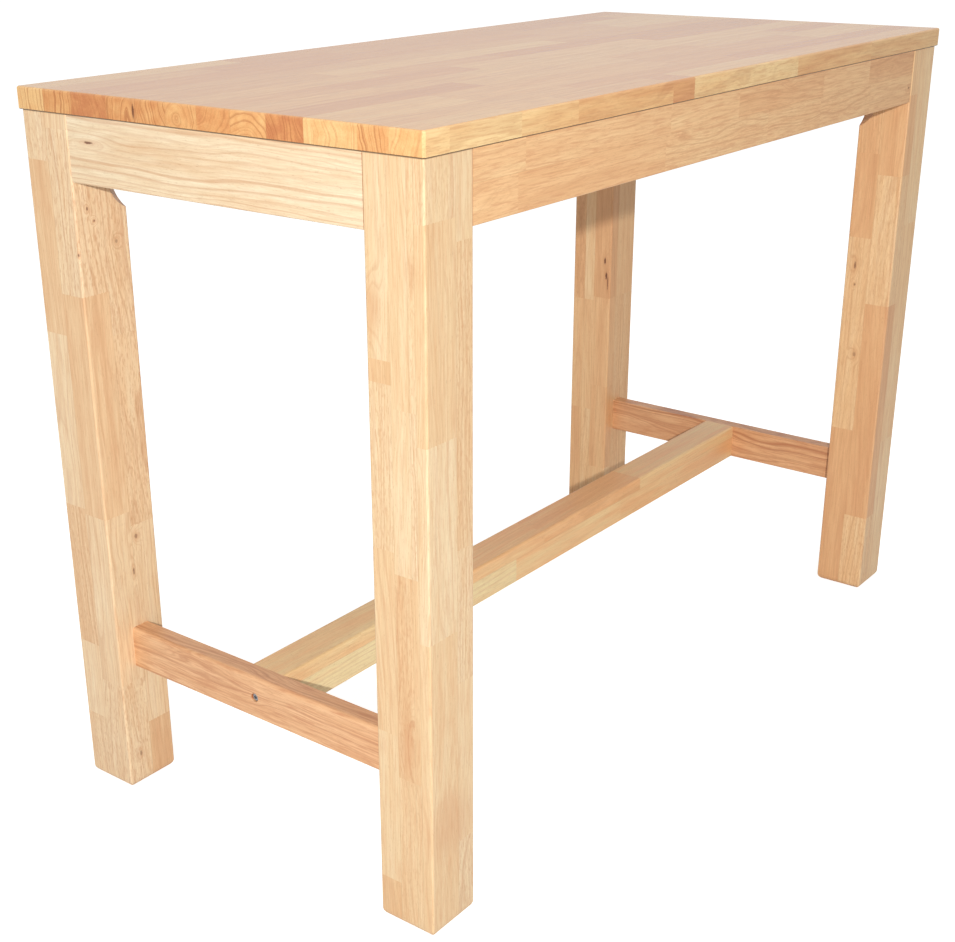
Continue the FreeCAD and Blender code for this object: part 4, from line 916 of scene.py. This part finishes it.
set_fittings("leg_bolts_turned", "leg_bolts", fasteners, across_corner(BOLT_SEAT), Head_Radius=0.0065,
             Head_Height=0.008, Rounding=0.0009, Socket_Width=0.006, Socket_Depth=0.004, **BOLT)
set_fittings("rail_bolts_turned", "rail_bolts", fasteners, [(0.689, 0.0, RAIL_HEIGHT, (1, 0, 0))], False,
             Head_Radius=0.006, Head_Height=0.005, Rounding=0.0008, Socket_Width=0.005, Socket_Depth=0.003, **BOLT)

# %% [markdown]
# ## Wood screws
# The same screw in three lengths holds the corner blocks to the aprons, the top to the blocks, and the small steel
# brackets to the top and the long aprons. The washers of the bolts are set last.

# %% Set the screws and the last washers
SCREW_HEIGHTS = (0.982, 1.022)
WOOD_SCREW = {"Head_Radius": 0.004, "Head_Height": 0.0025, "Rounding": 0.0008, "Shank_Radius": 0.002,
              "Thread_Pitch": 0.0016, "Thread_Depth": 0.0004, "Socket_Width": 0.0042, "Socket_Depth": 0.0014,
              "Cross": 1.0, "Sides": 12}
block_spots = [spot for z in SCREW_HEIGHTS for spot in (
    (0.686, 0.20687, z, (-1, 0, 0)), (0.58687, 0.306, z, (0, -1, 0)))]
top_spots = [(0.61691, 0.28216, 1.008, (0, 0, -1)), (0.66216, 0.23691, 1.008, (0, 0, -1))]
bracket_spots = [(0.25, 0.305, 1.033, (0, 0, -1)), (0.25, 0.318, 1.02, (0, -1, 0))]
for name, node, spots, length in (("block_screws_turned", "corner_block_screws", block_spots, 0.032),
                                  ("top_screws_turned", "top_screws", top_spots, 0.045),
                                  ("bracket_screws_turned", "bracket_screws", bracket_spots, 0.016)):
    set_fittings(name, node, fasteners, spots, Shank_Length=length, **WOOD_SCREW)
set_fittings("flat_washers_round", "leg_bolt_flat_washers", washers, across_corner(FLAT_BACK), Outer_Radius=0.009,
             Thickness=0.0016, **FLAT)
set_fittings("spring_washers_bent", "leg_bolt_spring_washers", washers, across_corner(SPRING_BACK),
             Outer_Radius=0.0069, Inner_Radius=0.0043, Thickness=0.0017, Slit=0.0015, Climb=0.0003, Sides=25)
set_fittings("rail_washers_round", "rail_bolt_washers", washers, [(0.688, 0.0, RAIL_HEIGHT, (1, 0, 0))], False,
             Outer_Radius=0.006, Thickness=0.001, **FLAT)

# %% [markdown]
# ## Floor and surroundings
# The table stands on a plain white floor that runs out of the picture, under a plain white world that gives most
# of the light. The floor glows a little for the camera alone, so that it shows as white without putting more
# light on the table, and it keeps the table's shadow. The camera sees the world as pure white. Shiny surfaces see
# about half of that, because the satin lacquer on the top would look like milk under a mirror of white.

# %% Floor and world
FLOOR_HALF = 30.0
FLOOR_GLOW = 0.72
WORLD_FILL = 0.58
SHINE_SHARE = 0.55


def white_ground():
    mesh = bpy.data.meshes.new("floor")
    corners = [(x * FLOOR_HALF, y * FLOOR_HALF, 0) for x, y in ((-1, -1), (1, -1), (1, 1), (-1, 1))]
    mesh.from_pydata(corners, [], [(0, 1, 2, 3)])
    floor = bpy.data.objects.new("floor", mesh)
    bpy.context.scene.collection.objects.link(floor)
    material = bpy.data.materials.new("floor_paint")
    material.use_nodes = True
    tree = material.node_tree
    tree.nodes.clear()
    matt = add(tree, "ShaderNodeBsdfDiffuse", Color=(0.8, 0.8, 0.8, 1.0))[0]
    both = add(tree, "ShaderNodeAddShader", matt, add(tree, "ShaderNodeEmission", Strength=FLOOR_GLOW)[0])[0]
    seen = add(tree, "ShaderNodeMixShader", add(tree, "ShaderNodeLightPath")["Is Camera Ray"], matt, both)
    add(tree, "ShaderNodeOutputMaterial", Surface=seen[0])
    mesh.materials.append(material)
    return floor


white_ground()

world = bpy.data.worlds.new("studio")
bpy.context.scene.world = world
world.use_nodes = True
sky = world.node_tree
sky.nodes.clear()
fill = add(sky, "ShaderNodeBackground", Color=(0.8, 0.8, 0.8, 1.0), Strength=WORLD_FILL)[0]
backdrop = add(sky, "ShaderNodeBackground", Color=(1.0, 1.0, 1.0, 1.0), Strength=1.0)[0]
ray = add(sky, "ShaderNodeLightPath")
bright = calc(sky, "MAXIMUM", product(sky, ray["Is Glossy Ray"], SHINE_SHARE), ray["Is Camera Ray"])
add(sky, "ShaderNodeOutputWorld", Surface=add(sky, "ShaderNodeMixShader", bright, fill, backdrop)[0])
print("the floor is", 2 * FLOOR_HALF, "m wide")

# %% [markdown]
# ## Lamps
# A small lamp stands behind the camera, a little above the lens, where a camera flash would be, because only a
# small lamp there gives the crisp shadow of the front apron on the far leg. A wide, weak lamp over the table
# lights the top from above, as a studio's ceiling does.

# %% Set the lamps


def soft_lamp(name, place, aim, width, watts):
    lamp = bpy.data.lights.new(name, "AREA")
    lamp.shape = "DISK"
    lamp.size = width
    lamp.energy = watts
    holder = bpy.data.objects.new(name, lamp)
    bpy.context.scene.collection.objects.link(holder)
    holder.location = place
    holder.rotation_euler = (Vector(aim) - Vector(place)).to_track_quat("-Z", "Y").to_euler()
    print(name, "stands", round((Vector(aim) - Vector(place)).length, 2), "m away")


soft_lamp("key_lamp", place=(-3.1, -2.257, 1.834), aim=(0.0, 0.0, 0.7), width=0.08, watts=112.0)
soft_lamp("overhead_lamp", place=(0.0, 0.0, 3.2), aim=(0.0, 0.0, 1.0), width=2.4, watts=21.0)

# %% [markdown]
# ## The view
# The camera stands at a person's shoulder height near the left front corner. Its place, turn and lens come from
# laying the table's straight edges over those in the picture until they agree, and its small shift keeps the
# table where the frame has it.

# %% Camera
camera = bpy.data.objects.new("camera", bpy.data.cameras.new("camera"))
bpy.context.scene.collection.objects.link(camera)
camera.location = (-2.0207, -1.3885, 1.3112)
camera.rotation_euler = [math.radians(v) for v in (67.8035, 0.5262, -51.8153)]
camera.data.sensor_width = 36.0
camera.data.lens = 57.266
camera.data.shift_x = 0.0404
camera.data.shift_y = 0.0326
camera.data.clip_start, camera.data.clip_end = 0.05, 200.0
bpy.context.scene.camera = camera
bpy.context.scene.view_settings.view_transform = "Standard"
print("the lens is", round(camera.data.lens, 1), "mm, and", round(camera.location.z, 2), "m above the floor")
